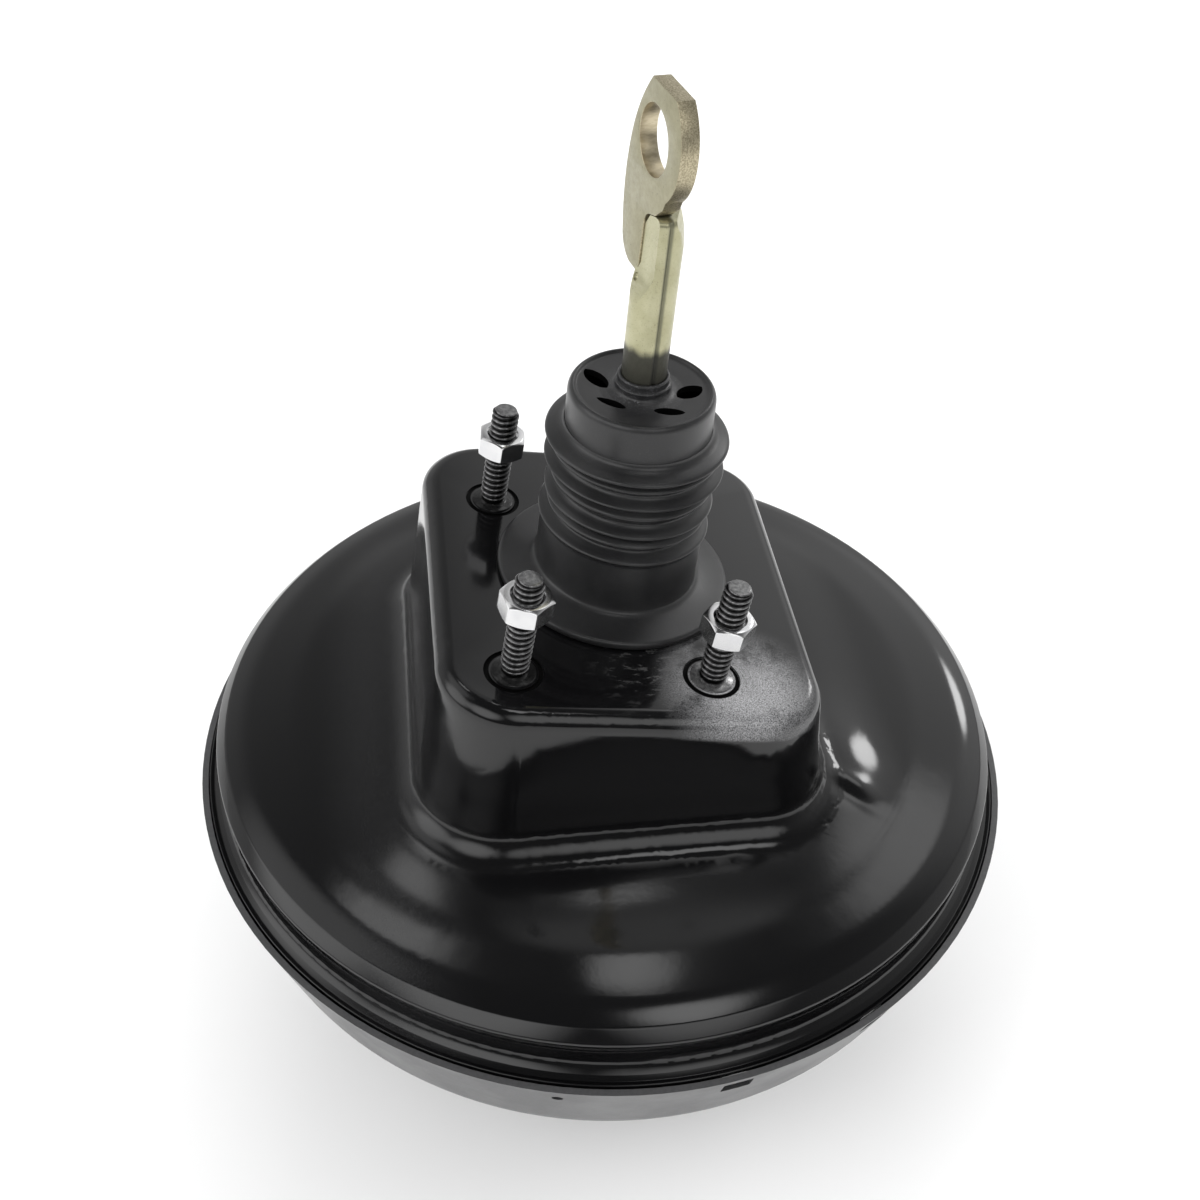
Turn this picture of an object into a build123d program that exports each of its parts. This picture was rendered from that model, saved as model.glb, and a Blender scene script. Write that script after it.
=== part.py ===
from build123d import *
import math
import os
from math import sin, cos, radians

os.makedirs("parts", exist_ok=True)

# Vacuum brake booster.
# Row frame: origin at the centre of the master-cylinder mounting face, +Z along the shell axis
# towards the pedal. X runs along the short side of the pressed tower, Y along its long side.

# ---------------------------------------------------------------- driving dimensions, mm
SHEET = 1.8                 # shell sheet thickness
RIM_Z = 72.0                # ledge of the rear shell's rim
BAND_R = 128.6              # front shell's outer radius at its open end
BAND_TOP = RIM_Z - 0.9
SHOULDER_R = 122.5          # widest radius of the rear shell's shoulder
FACE_Z = 141.85             # firewall face, where the shell axis meets it
FACE_TILT = 7.86            # firewall face leans this far towards +X, degrees
TOP_X0, TOP_X1 = -54.0, 54.0    # tower outline at the face
TOP_Y0, TOP_Y1 = -60.6, 60.6
BASE_X0, BASE_X1 = -63.0, 59.5  # tower outline where it meets the dome
BASE_Y0, BASE_Y1 = -64.6, 64.6
NECK_R = 21.0               # pocket for the neck bearing and seal
STUD_R = 4.0                # M8
STUD_CORE_R = 3.75          # thread flanks below the nuts
STUD_LEN = 33.4
STUD_X = (-33.3, 22.2)
STUD_Y = (-43.4, 31.1)
NUT_AF = 13.0
NUT_H = 6.5
# nut centre height above the face for each stud, same order as STUDS
NUT_AT = {(0, 0): 24.6, (0, 1): 21.8, (1, 0): 19.4, (1, 1): 22.0}
MC_STUD_PCD = 84.0
MC_STUD_LEN = 28.0
PILOT_R = 19.0              # master-cylinder pilot bore
PILOT_LEN = 12.0
VALVE_R = 15.5              # valve body's rear tube, outside
VALVE_BORE = 13.3
VALVE_TOP = 176.0
BALL_Z = 85.0               # pushrod ball centre
BALL_R = 5.0
ROD_LEAN = 2.5              # pushrod leans towards +X at rest, degrees
ROD_R = 6.0
ROD_TOP = 172.0             # distance from the ball along the rod
EYE_AT = 189.0              # eye hole from the ball, along the rod
EYE_OFF = -2.8              # eye hole off the rod axis, along the plate
EYE_R = 8.5
PLATE_T = 4.6
PLATE_NEAR = 3.35           # rod axis to the plate's -X face
PLATE_TURN = 13.0           # plate normal turned from -X towards -Y
BOOT_FLANGE_R = 34.2
BOOT_TUBE_R = 23.6

t = radians(FACE_TILT)
FACE = Plane(origin=(0, 0, FACE_Z), x_dir=(cos(t), 0, -sin(t)), z_dir=(sin(t), 0, cos(t)))
lean = radians(ROD_LEAN)
turn = radians(PLATE_TURN)
rod_dir = Vector(sin(lean), 0, cos(lean))
plate_n = Vector(-cos(turn), -sin(turn), 0)
plate_n = (plate_n - rod_dir * plate_n.dot(rod_dir)).normalized()   # normal of the eye plate's -X face
plate_u = plate_n.cross(rod_dir)
if plate_u.Y > 0:
    plate_u = plate_u * -1                                          # towards -Y
ROD = Plane(origin=(0, 0, BALL_Z), x_dir=plate_u, z_dir=rod_dir)


def face_plane(h):
    """Plane parallel to the firewall face, h above it."""
    return FACE.offset(h)


STUDS = [(i, j) for i in (0, 1) for j in (0, 1)]
STUD_PTS = [(STUD_X[i], STUD_Y[j]) for i, j in STUDS]


def rounded_box(x0, x1, y0, y1, r00, r10, r11, r01):
    """Corners of a rectangle with its own radius at each corner, as a closed line."""
    k = 1 - 0.70710678
    Line((x0 + r00, y0), (x1 - r10, y0))
    ThreePointArc((x1 - r10, y0), (x1 - r10 * k, y0 + r10 * k), (x1, y0 + r10))
    Line((x1, y0 + r10), (x1, y1 - r11))
    ThreePointArc((x1, y1 - r11), (x1 - r11 * k, y1 - r11 * k), (x1 - r11, y1))
    Line((x1 - r11, y1), (x0 + r01, y1))
    ThreePointArc((x0 + r01, y1), (x0 + r01 * k, y1 - r01 * k), (x0, y1 - r01))
    Line((x0, y1 - r01), (x0, y0 + r00))
    ThreePointArc((x0, y0 + r00), (x0 + r00 * k, y0 + r00 * k), (x0 + r00, y0))


# ================================================================ rear shell
DOME_OUT = [(0.01, 94.4), (60, 93.8), (98, 92.4), (113.5, 90.4), (119.2, 88.4), (122.5, 85.0), (120.9, 79.5),
            (120.9, 74.2), (123.3, 72.1), (124.8, 71.3), (126.3, 72.0), (125.4, 67.2)]
DOME_OUT_R = [120, 60, 25, 2.2, 1.2, 6, 3.4, 0.25, 0.5, 0.3]
DOME_IN = [(0.01, 92.6), (60, 92.0), (98, 90.6), (112.8, 88.7), (117.9, 86.9), (120.5, 84.2), (119.1, 79.5),
           (119.1, 72.8), (121.8, 70.2), (124.5, 70.0), (123.8, 67.2)]
DOME_IN_R = [120, 60, 25, 2.2, 1.2, 6, 4.8, 0.4, 0.3]
BASE_AT = 84.0              # loft section below the dome
TOP_CORNERS = (22, 18, 18, 20)
BASE_CORNERS = (27, 22, 22, 25)

with BuildPart() as tower_cavity:
    with BuildSketch(Plane.XZ):
        with BuildLine():
            w = FilletPolyline(*DOME_IN, radius=DOME_IN_R)
            Polyline(w @ 1, (0.01, 67.2), (0.01, 92.6))
        make_face()
    revolve(axis=Axis.Z)
    with BuildSketch(Plane.XY.offset(BASE_AT)):
        with BuildLine():
            rounded_box(BASE_X0 + 1.9, BASE_X1 - 1.9, BASE_Y0 + 1.9, BASE_Y1 - 1.9, *[r - 1.8 for r in BASE_CORNERS])
        make_face()
    with BuildSketch(face_plane(-SHEET)):
        with BuildLine():
            rounded_box(TOP_X0 + 1.9, TOP_X1 - 1.9, TOP_Y0 + 1.9, TOP_Y1 - 1.9, *[r - 1.8 for r in TOP_CORNERS])
        make_face()
    loft(ruled=True)
    top = faces().filter_by(lambda f: abs(f.center().Z - FACE_Z) < 12 and f.area > 5000)
    fillet(top.edges(), radius=3.4)

with BuildPart() as rear_shell:
    with BuildSketch(Plane.XZ):
        with BuildLine():
            w = FilletPolyline(*DOME_OUT, radius=DOME_OUT_R)
            Polyline(w @ 1, (0.01, 67.2), (0.01, 94.4))
        make_face()
    revolve(axis=Axis.Z)
    with BuildSketch(Plane.XY.offset(BASE_AT)):
        with BuildLine():
            rounded_box(BASE_X0, BASE_X1, BASE_Y0, BASE_Y1, *BASE_CORNERS)
        make_face()
    with BuildSketch(FACE):
        with BuildLine():
            rounded_box(TOP_X0, TOP_X1, TOP_Y0, TOP_Y1, *TOP_CORNERS)
        make_face()
    loft(ruled=True)
    top = faces().filter_by(lambda f: abs(f.center().Z - FACE_Z) < 12 and f.area > 5000)
    fillet(top.edges(), radius=5.2)
    foot = edges().filter_by(lambda e: 89 < e.center().Z < 97 and 50 < (e.center().X ** 2 + e.center().Y ** 2) ** 0.5 < 92
                             and e.geom_type != GeomType.CIRCLE)
    fillet(foot, radius=9.0)
    add(tower_cavity.part, mode=Mode.SUBTRACT)
    # drawn neck pocket, square to the shell axis, trimmed to the face
    with BuildSketch(Plane.XY.offset(122.0)):
        Circle(NECK_R + SHEET)
    extrude(amount=16.0)
    with BuildSketch(Plane.XY.offset(122.0)):
        Circle(VALVE_R + 0.9)
    extrude(amount=60, mode=Mode.SUBTRACT)
    with BuildSketch(Plane.XY.offset(122.0 + SHEET)):
        Circle(NECK_R)
    extrude(amount=60, mode=Mode.SUBTRACT)
    # pressed ring round each stud
    with BuildSketch(face_plane(0.0)):
        with Locations(*STUD_PTS):
            Circle(8.2)
            Circle(6.9, mode=Mode.SUBTRACT)
    extrude(amount=-0.7, mode=Mode.SUBTRACT)
    # stud holes
    with BuildSketch(face_plane(-6.0)):
        with Locations(*STUD_PTS):
            Circle(STUD_R + 0.25)
    extrude(amount=12, mode=Mode.SUBTRACT)
rear_shell.part.label = "rear_shell"
export_step(rear_shell.part, "parts/rear_shell.step")

# ================================================================ front shell
SLOT_Z = RIM_Z - 6.9
SLOT_ANGLES = [a + k * 120 for k in range(3) for a in (-80.9, -60.6)]
PIP_ANGLES = [-103 + k * 120 for k in range(3)]
GROMMET_R = 10.0
# check valve sits on the front shell's cone, square to it; +Z of this plane points into the shell
CONE = math.atan2(5.0, 27.0)
CHECK = Plane(origin=(0, 75.5, 13.5 * 5.0 / 27.0), x_dir=(1, 0, 0), z_dir=(0, -sin(CONE), cos(CONE)))
CHECK_SIDE = Plane(origin=CHECK.origin, x_dir=(1, 0, 0), z_dir=CHECK.y_dir * -1)
with BuildPart() as front_shell:
    with BuildSketch(Plane.XZ):
        with BuildLine():
            o = FilletPolyline((BAND_R, BAND_TOP), (119.7, 40.2), (104.5, 16), (89, 5), (62, 0), (23.0, 0), radius=[20, 25, 25, 30])
            i = FilletPolyline((BAND_R - 1.87, BAND_TOP), (118.04, 40.94), (103.17, 17.26), (88.28, 6.7), (61.83, SHEET), (23.0, SHEET),
                               radius=[18.2, 23.2, 23.2, 28.2])
            Line(o @ 0, i @ 0)
            Line(o @ 1, i @ 1)
        make_face()
    revolve(axis=Axis.Z)
    # lance slots and small holes through the wall, near its open end
    for a in SLOT_ANGLES:
        with BuildSketch(Plane(origin=(119 * cos(radians(a)), 119 * sin(radians(a)), SLOT_Z), x_dir=(-sin(radians(a)), cos(radians(a)), 0),
                               z_dir=(cos(radians(a)), sin(radians(a)), 0))):
            RectangleRounded(8.6, 6.6, 0.6)
        extrude(amount=14, mode=Mode.SUBTRACT)
    for a in PIP_ANGLES:
        with BuildSketch(Plane(origin=(119 * cos(radians(a)), 119 * sin(radians(a)), SLOT_Z), x_dir=(-sin(radians(a)), cos(radians(a)), 0),
                               z_dir=(cos(radians(a)), sin(radians(a)), 0))):
            Circle(1.6)
        extrude(amount=14, mode=Mode.SUBTRACT)
    # grommet hole and master-cylinder stud holes
    with BuildSketch(CHECK.offset(-4)):
        Circle(GROMMET_R)
    extrude(amount=9, mode=Mode.SUBTRACT)
    with BuildSketch(Plane.XY.offset(-5)):
        with PolarLocations(MC_STUD_PCD / 2, 2):
            Circle(STUD_R + 0.2)
    extrude(amount=22, mode=Mode.SUBTRACT)
front_shell.part.label = "front_shell"
export_step(front_shell.part, "parts/front_shell.step")

# reinforcement ring inside the front shell, with the pilot bore for the master cylinder
with BuildPart() as front_reinforcement:
    with BuildSketch(Plane.XZ):
        with BuildLine():
            Polyline((PILOT_R, 0), (22.8, 0), (22.8, SHEET), (52, SHEET), (52, 5.8), (24.5, 5.8), (23.5, PILOT_LEN), (PILOT_R, PILOT_LEN),
                     (PILOT_R, 0))
        make_face()
    revolve(axis=Axis.Z)
    with BuildSketch(Plane.XY.offset(1)):
        with PolarLocations(MC_STUD_PCD / 2, 2):
            Circle(STUD_R + 0.2)
    extrude(amount=6, mode=Mode.SUBTRACT)
    with BuildSketch(Plane.XZ):
        with BuildLine():
            Polyline((PILOT_R - 1, 6.6), (PILOT_R + 2.2, 6.6), (PILOT_R + 2.2, 9.4), (PILOT_R - 1, 9.4), (PILOT_R - 1, 6.6))
        make_face()
    revolve(axis=Axis.Z, mode=Mode.SUBTRACT)
front_reinforcement.part.label = "front_reinforcement"
export_step(front_reinforcement.part, "parts/front_reinforcement.step")

# seal ring in the pilot bore's groove
with BuildPart() as front_seal:
    with BuildSketch(Plane.XZ):
        with Locations((PILOT_R + 1.15, 8.0)):
            RectangleRounded(2.0, 2.6, 0.6)
    revolve(axis=Axis.Z)
front_seal.part.label = "front_seal"
export_step(front_seal.part, "parts/front_seal.step")

# two studs for the master cylinder, heads on the reinforcement ring
with BuildPart() as mc_studs:
    with BuildSketch(Plane.XY.offset(5.8)):
        with PolarLocations(MC_STUD_PCD / 2, 2):
            Circle(7.0)
    extrude(amount=3.0)
    with BuildSketch(Plane.XY.offset(5.8)):
        with PolarLocations(MC_STUD_PCD / 2, 2):
            Circle(STUD_R + 0.12)
    extrude(amount=-5.8)
    with BuildSketch(Plane.XY):
        with PolarLocations(MC_STUD_PCD / 2, 2):
            Circle(STUD_R)
    extrude(amount=-MC_STUD_LEN)
    chamfer(faces().sort_by(Axis.Z)[:2].edges(), length=0.8)
mc_studs.part.label = "mc_studs"
export_step(mc_studs.part, "parts/mc_studs.step")

# ================================================================ firewall side fixings
# plate under the face that carries the studs
with BuildPart() as rear_reinforcement:
    with BuildSketch(face_plane(-SHEET)):
        with BuildLine():
            rounded_box(-45, 45, -52, 52, 16, 16, 16, 16)
        make_face()
        Circle(NECK_R + SHEET + 2.2, mode=Mode.SUBTRACT)
        with Locations(*STUD_PTS):
            Circle(STUD_R + 0.25, mode=Mode.SUBTRACT)
    extrude(amount=-2.5)
rear_reinforcement.part.label = "rear_reinforcement"
export_step(rear_reinforcement.part, "parts/rear_reinforcement.step")

with BuildPart() as firewall_studs:
    head_h = -SHEET - 2.5
    with BuildSketch(face_plane(head_h)):
        with Locations(*STUD_PTS):
            Circle(7.0)
    extrude(amount=-3.0)
    for (i, j), (x, y) in zip(STUDS, STUD_PTS):
        free = NUT_AT[(i, j)] + NUT_H / 2 + 0.3
        with BuildSketch(face_plane(head_h)):
            with Locations((x, y)):
                Circle(STUD_CORE_R)
        extrude(amount=free - head_h)
        with BuildSketch(face_plane(free)):
            with Locations((x, y)):
                Circle(STUD_R)
        extrude(amount=STUD_LEN - free - 0.8)
        with BuildSketch(face_plane(STUD_LEN - 0.8)) as s1:
            with Locations((x, y)):
                Circle(STUD_R)
        with BuildSketch(face_plane(STUD_LEN)) as s2:
            with Locations((x, y)):
                Circle(STUD_R - 1.1)
        loft()
        # raised foot in the middle of the pressed ring
        with BuildSketch(face_plane(0.0)):
            with Locations((x, y)):
                Circle(6.3)
        extrude(amount=0.35)
        with BuildSketch(face_plane(-SHEET)):
            with Locations((x, y)):
                Circle(STUD_R + 0.2)
        extrude(amount=SHEET)
firewall_studs.part.label = "firewall_studs"
export_step(firewall_studs.part, "parts/firewall_studs.step")

with BuildPart() as firewall_nuts:
    for (i, j), (x, y) in zip(STUDS, STUD_PTS):
        turned = {(0, 0): 8, (0, 1): 25, (1, 0): -12, (1, 1): 40}[(i, j)]
        with BuildSketch(face_plane(NUT_AT[(i, j)] - NUT_H / 2)):
            with Locations(Location((x, y), turned)):
                RegularPolygon(NUT_AF / 2, 6, major_radius=False)
                Circle(STUD_CORE_R + 0.1, mode=Mode.SUBTRACT)
        extrude(amount=NUT_H)
firewall_nuts.part.label = "firewall_nuts"
export_step(firewall_nuts.part, "parts/firewall_nuts.step")

# ================================================================ neck
NECK_FLOOR = 122.0 + SHEET
with BuildPart() as neck_bearing:
    with BuildSketch(Plane.XZ):
        with BuildLine():
            Polyline((VALVE_R + 0.07, NECK_FLOOR), (NECK_R, NECK_FLOOR), (NECK_R, NECK_FLOOR + 5.5), (VALVE_R + 0.07, NECK_FLOOR + 5.5),
                     (VALVE_R + 0.07, NECK_FLOOR))
        make_face()
    revolve(axis=Axis.Z)
neck_bearing.part.label = "neck_bearing"
export_step(neck_bearing.part, "parts/neck_bearing.step")

with BuildPart() as neck_seal:
    with BuildSketch(Plane.XZ):
        with BuildLine():
            z0 = NECK_FLOOR + 5.5
            Polyline((VALVE_R + 0.07, z0), (NECK_R, z0), (NECK_R, z0 + 5.0), (NECK_R - 1.6, z0 + 5.0), (VALVE_R + 1.8, z0 + 2.2),
                     (VALVE_R + 0.9, z0 + 3.4), (VALVE_R + 0.07, z0 + 3.0), (VALVE_R + 0.07, z0))
        make_face()
    revolve(axis=Axis.Z)
neck_seal.part.label = "neck_seal"
export_step(neck_seal.part, "parts/neck_seal.step")

with BuildPart() as seal_retainer:
    with BuildSketch(Plane.XZ):
        with BuildLine():
            z0 = NECK_FLOOR + 10.5
            Polyline((VALVE_R + 1.0, z0), (NECK_R, z0), (NECK_R, z0 + 3.0), (NECK_R - 1.0, z0 + 3.0), (NECK_R - 1.0, z0 + 1.0),
                     (VALVE_R + 1.0, z0 + 1.0), (VALVE_R + 1.0, z0))
        make_face()
    revolve(axis=Axis.Z)
seal_retainer.part.label = "seal_retainer"
export_step(seal_retainer.part, "parts/seal_retainer.step")

# ================================================================ power piston
HUB_FRONT = 55.0
with BuildPart() as valve_body:
    with BuildSketch(Plane.XZ):
        with BuildLine():
            Polyline((0.01, HUB_FRONT), (19.5, HUB_FRONT), (20.5, HUB_FRONT + 1), (22, 74.5), (34, 74.5), (34, 81), (VALVE_R, 81),
                     (VALVE_R, VALVE_TOP), (0.01, VALVE_TOP), (0.01, HUB_FRONT))
        make_face()
    revolve(axis=Axis.Z)
    # front recess for the output rod's cup, plunger guide, valve chamber and rear bore
    with BuildSketch(Plane.XY.offset(HUB_FRONT)):
        Circle(14.3)
    extrude(amount=11.0, mode=Mode.SUBTRACT)
    with BuildSketch(Plane.XY.offset(HUB_FRONT)):
        Circle(6.05)
    extrude(amount=30, mode=Mode.SUBTRACT)
    with BuildSketch(Plane.XY.offset(78.0)):
        Circle(9.4)
    extrude(amount=30, mode=Mode.SUBTRACT)
    with BuildSketch(Plane.XY.offset(93.0)):
        Circle(VALVE_BORE)
    extrude(amount=100, mode=Mode.SUBTRACT)
    # slot for the stop key
    with BuildSketch(Plane.XY.offset(76.4)):
        with Locations((11.5, 0)):
            Rectangle(46, 16.4)
    extrude(amount=2.3, mode=Mode.SUBTRACT)
# raised vacuum seat round the plunger
with BuildPart() as seat_ring:
    with BuildSketch(Plane.XZ):
        with BuildLine():
            Polyline((10.2, 93.0), (12.6, 93.0), (11.6, 95.2), (10.8, 95.2), (10.2, 93.0))
        make_face()
    revolve(axis=Axis.Z)
with BuildPart() as valve_body_2:
    add(valve_body.part)
    add(seat_ring.part)
valve_body_2.part.label = "valve_body"
export_step(valve_body_2.part, "parts/valve_body.step")

with BuildPart() as diaphragm_plate:
    with BuildSketch(Plane.XZ):
        with BuildLine():
            o = FilletPolyline((VALVE_R + 0.2, 82.5), (37, 82.5), (41, 76.5), (92, 76.5), (97, 81.5), (108.2, 81.5), (108.2, 68),
                               radius=[2.5, 2.5, 2.5, 2.5, 2.2])
            i = FilletPolyline((VALVE_R + 0.2, 81.0), (36.3, 81.0), (40.3, 75.0), (92.6, 75.0), (97.6, 80.0), (106.7, 80.0), (106.7, 68),
                               radius=[2.0, 2.5, 2.5, 2.0, 1.0])
            Line(o @ 0, i @ 0)
            Line(o @ 1, i @ 1)
        make_face()
    revolve(axis=Axis.Z)
diaphragm_plate.part.label = "diaphragm_plate"
export_step(diaphragm_plate.part, "parts/diaphragm_plate.step")

# rolling diaphragm: inner bead on the tube, skirt over the plate, roll, outer bead in the rim
with BuildPart() as diaphragm:
    with BuildSketch(Plane.XZ):
        with BuildLine():
            # upper / outer side from the inner bead to the outer bead
            u = FilletPolyline((VALVE_R + 0.05, 88), (19.0, 88), (20.0, 84.0), (37.8, 84.0), (41.8, 78.0), (91.3, 78.0), (96.4, 83.0),
                               (108.0, 83.0), (109.2, 86.9), (117.9, 86.2), (118.2, 69.0), (121.6, 69.0), (123.2, 67.0), (125.35, 67.0),
                               (124.0, 62.4), radius=[1.0, 1.0, 2.0, 2.0, 2.0, 2.0, 1.0, 2.4, 3.0, 1.2, 0.4, 0.4, 0.5])
            v = FilletPolyline((VALVE_R + 0.05, 88), (VALVE_R + 0.05, 82.5), (37.0, 82.5), (41.0, 76.5), (92.0, 76.5), (97.0, 81.5),
                               (110.6, 81.5), (111.0, 85.4), (116.5, 85.0), (116.8, 66.0), (120.0, 62.4), (124.0, 62.4),
                               radius=[0.1, 2.5, 2.5, 2.5, 2.5, 0.5, 1.6, 1.6, 2.0, 1.0])
        make_face()
    revolve(axis=Axis.Z)
diaphragm.part.label = "diaphragm"
export_step(diaphragm.part, "parts/diaphragm.step")

# rubber disc between hub and output rod
with BuildPart() as reaction_disc:
    with BuildSketch(Plane.XY.offset(58.4)):
        Circle(12.4)
    extrude(amount=7.4)
    chamfer(edges(), length=0.5)
reaction_disc.part.label = "reaction_disc"
export_step(reaction_disc.part, "parts/reaction_disc.step")

# output rod: cup round the disc, stem to the master cylinder
with BuildPart() as output_rod:
    with BuildSketch(Plane.XZ):
        with BuildLine():
            Polyline((0.01, 24), (5.0, 24), (5.0, 52), (7.5, 55.5), (13.9, 55.5), (13.9, 65.6), (12.6, 65.6), (12.6, 58.4), (0.01, 58.4),
                     (0.01, 24))
        make_face()
    revolve(axis=Axis.Z)
    with BuildSketch(Plane.XY.offset(23)):
        Circle(2.6)
    extrude(amount=13, mode=Mode.SUBTRACT)
output_rod.part.label = "output_rod"
export_step(output_rod.part, "parts/output_rod.step")

# adjusting screw in the end of the output rod
with BuildPart() as output_rod_screw:
    with BuildSketch(Plane.XY.offset(20)):
        RegularPolygon(3.5, 6, major_radius=False)
    extrude(amount=4)
    with BuildSketch(Plane.XZ):
        with BuildLine():
            Line((0.01, 14.2), (0.01, 20))
            Line((0.01, 20), (3.2, 20))
            Line((3.2, 20), (3.2, 16.6))
            ThreePointArc((3.2, 16.6), (2.25, 14.85), (0.01, 14.2))
        make_face()
    revolve(axis=Axis.Z)
    with BuildSketch(Plane.XY.offset(24)):
        Circle(2.55)
    extrude(amount=10)
output_rod_screw.part.label = "output_rod_screw"
export_step(output_rod_screw.part, "parts/output_rod_screw.step")

# spring clip that keeps the cup in the hub
with BuildPart() as output_rod_clip:
    with BuildSketch(Plane.XY.offset(HUB_FRONT - 1.0)):
        Circle(19.0)
        Circle(8.2, mode=Mode.SUBTRACT)
        with PolarLocations(19.0, 6):
            Circle(3.2, mode=Mode.SUBTRACT)
    extrude(amount=1.0)
output_rod_clip.part.label = "output_rod_clip"
export_step(output_rod_clip.part, "parts/output_rod_clip.step")

# stop key: fork across the valve body, its arms either side of the plunger's groove
with BuildPart() as stop_key:
    with BuildSketch(Plane.XY.offset(76.6)):
        with Locations((10.5, 0)):
            Rectangle(34, 15.6)
        with Locations((2.0, 0)):
            SlotOverall(24, 9.6, mode=Mode.SUBTRACT)
        with Locations((-8, 0)):
            Rectangle(12, 9.6, mode=Mode.SUBTRACT)
    extrude(amount=1.9)
stop_key.part.label = "stop_key"
export_step(stop_key.part, "parts/stop_key.step")

# ================================================================ control valve
with BuildPart() as valve_plunger:
    with BuildSketch(Plane.XZ):
        with BuildLine():
            Polyline((0.01, 68.0), (5.4, 68.0), (6.0, 68.6), (6.0, 75.9), (4.2, 75.9), (4.2, 80.6), (8.0, 80.6), (8.0, 92.2), (8.6, 94.9),
                     (7.2, 94.9), (6.6, 89.0), (0.01, 89.0), (0.01, 68.0))
        make_face()
    revolve(axis=Axis.Z)
    # ball socket
    with BuildSketch(Plane.XZ):
        with BuildLine():
            Line((0.01, BALL_Z - BALL_R - 0.05), (0.01, 90))
            Line((0.01, 90), (BALL_R - 0.3, 90))
            Line((BALL_R - 0.3, 90), (BALL_R + 0.05, BALL_Z))
            ThreePointArc((BALL_R + 0.05, BALL_Z), ((BALL_R + 0.05) * cos(radians(45)), BALL_Z - (BALL_R + 0.05) * sin(radians(45))),
                          (0.01, BALL_Z - BALL_R - 0.05))
        make_face()
    revolve(axis=Axis.Z, mode=Mode.SUBTRACT)
valve_plunger.part.label = "valve_plunger"
export_step(valve_plunger.part, "parts/valve_plunger.step")

# poppet: sealing face over both seats, thin sleeve, bead held against the bore
with BuildPart() as poppet:
    with BuildSketch(Plane.XZ):
        with BuildLine():
            Polyline((6.4, 95.3), (12.4, 95.3), (12.4, 97.6), (11.4, 97.6), (11.4, 103.0), (VALVE_BORE - 0.05, 103.0),
                     (VALVE_BORE - 0.05, 107.5), (11.0, 107.5), (10.4, 104.0), (10.4, 97.6), (6.4, 97.6), (6.4, 95.3))
        make_face()
    revolve(axis=Axis.Z)
poppet.part.label = "poppet"
export_step(poppet.part, "parts/poppet.step")

with BuildPart() as poppet_retainer:
    with BuildSketch(Plane.XZ):
        with BuildLine():
            Polyline((9.0, 107.6), (VALVE_BORE - 0.1, 107.6), (VALVE_BORE - 0.1, 108.8), (9.0, 108.8), (9.0, 107.6))
        make_face()
    revolve(axis=Axis.Z)
poppet_retainer.part.label = "poppet_retainer"
export_step(poppet_retainer.part, "parts/poppet_retainer.step")


def coil(radius, wire, z0, z1, turns):
    """Round wire wound about the shell axis between two heights."""
    pitch = (z1 - z0 - wire) / turns
    return radius, wire, z0 + wire / 2, z1 - wire / 2, pitch


for name, (radius, wire, z0, z1, turns) in {
    "poppet_spring": (8.6, 0.9, 97.7, 107.5, 4),
    "input_return_spring": (10.6, 1.4, 108.9, 128.9, 5),
    "main_return_spring": (28.0, 3.4, 5.9, 74.4, 5.5),
}.items():
    r, d, a, b, pitch = coil(radius, wire, z0, z1, turns)
    with BuildPart() as spring:
        with BuildLine(Plane.XY.offset(a)) as path:
            Helix(pitch=pitch, height=b - a, radius=r)
        with BuildSketch(Plane(origin=path.line @ 0, z_dir=path.line % 0)):
            Circle(d / 2)
        sweep(is_frenet=True)
    spring.part.label = name
    export_step(spring.part, "parts/" + name + ".step")

# foam filter round the rod, in the mouth of the valve body
with BuildPart() as air_filter:
    with BuildSketch(Plane.XY.offset(156)):
        Circle(VALVE_BORE - 0.1)
    extrude(amount=15)
    with BuildSketch(ROD.offset(60)):
        Circle(ROD_R + 0.35)
    extrude(amount=40, mode=Mode.SUBTRACT)
air_filter.part.label = "air_filter"
export_step(air_filter.part, "parts/air_filter.step")

with BuildPart() as filter_retainer:
    with BuildSketch(Plane.XY.offset(171.2)):
        Circle(VALVE_BORE - 0.05)
        Circle(VALVE_BORE - 0.85, mode=Mode.SUBTRACT)
    extrude(amount=2.5)
filter_retainer.part.label = "filter_retainer"
export_step(filter_retainer.part, "parts/filter_retainer.step")

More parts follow.
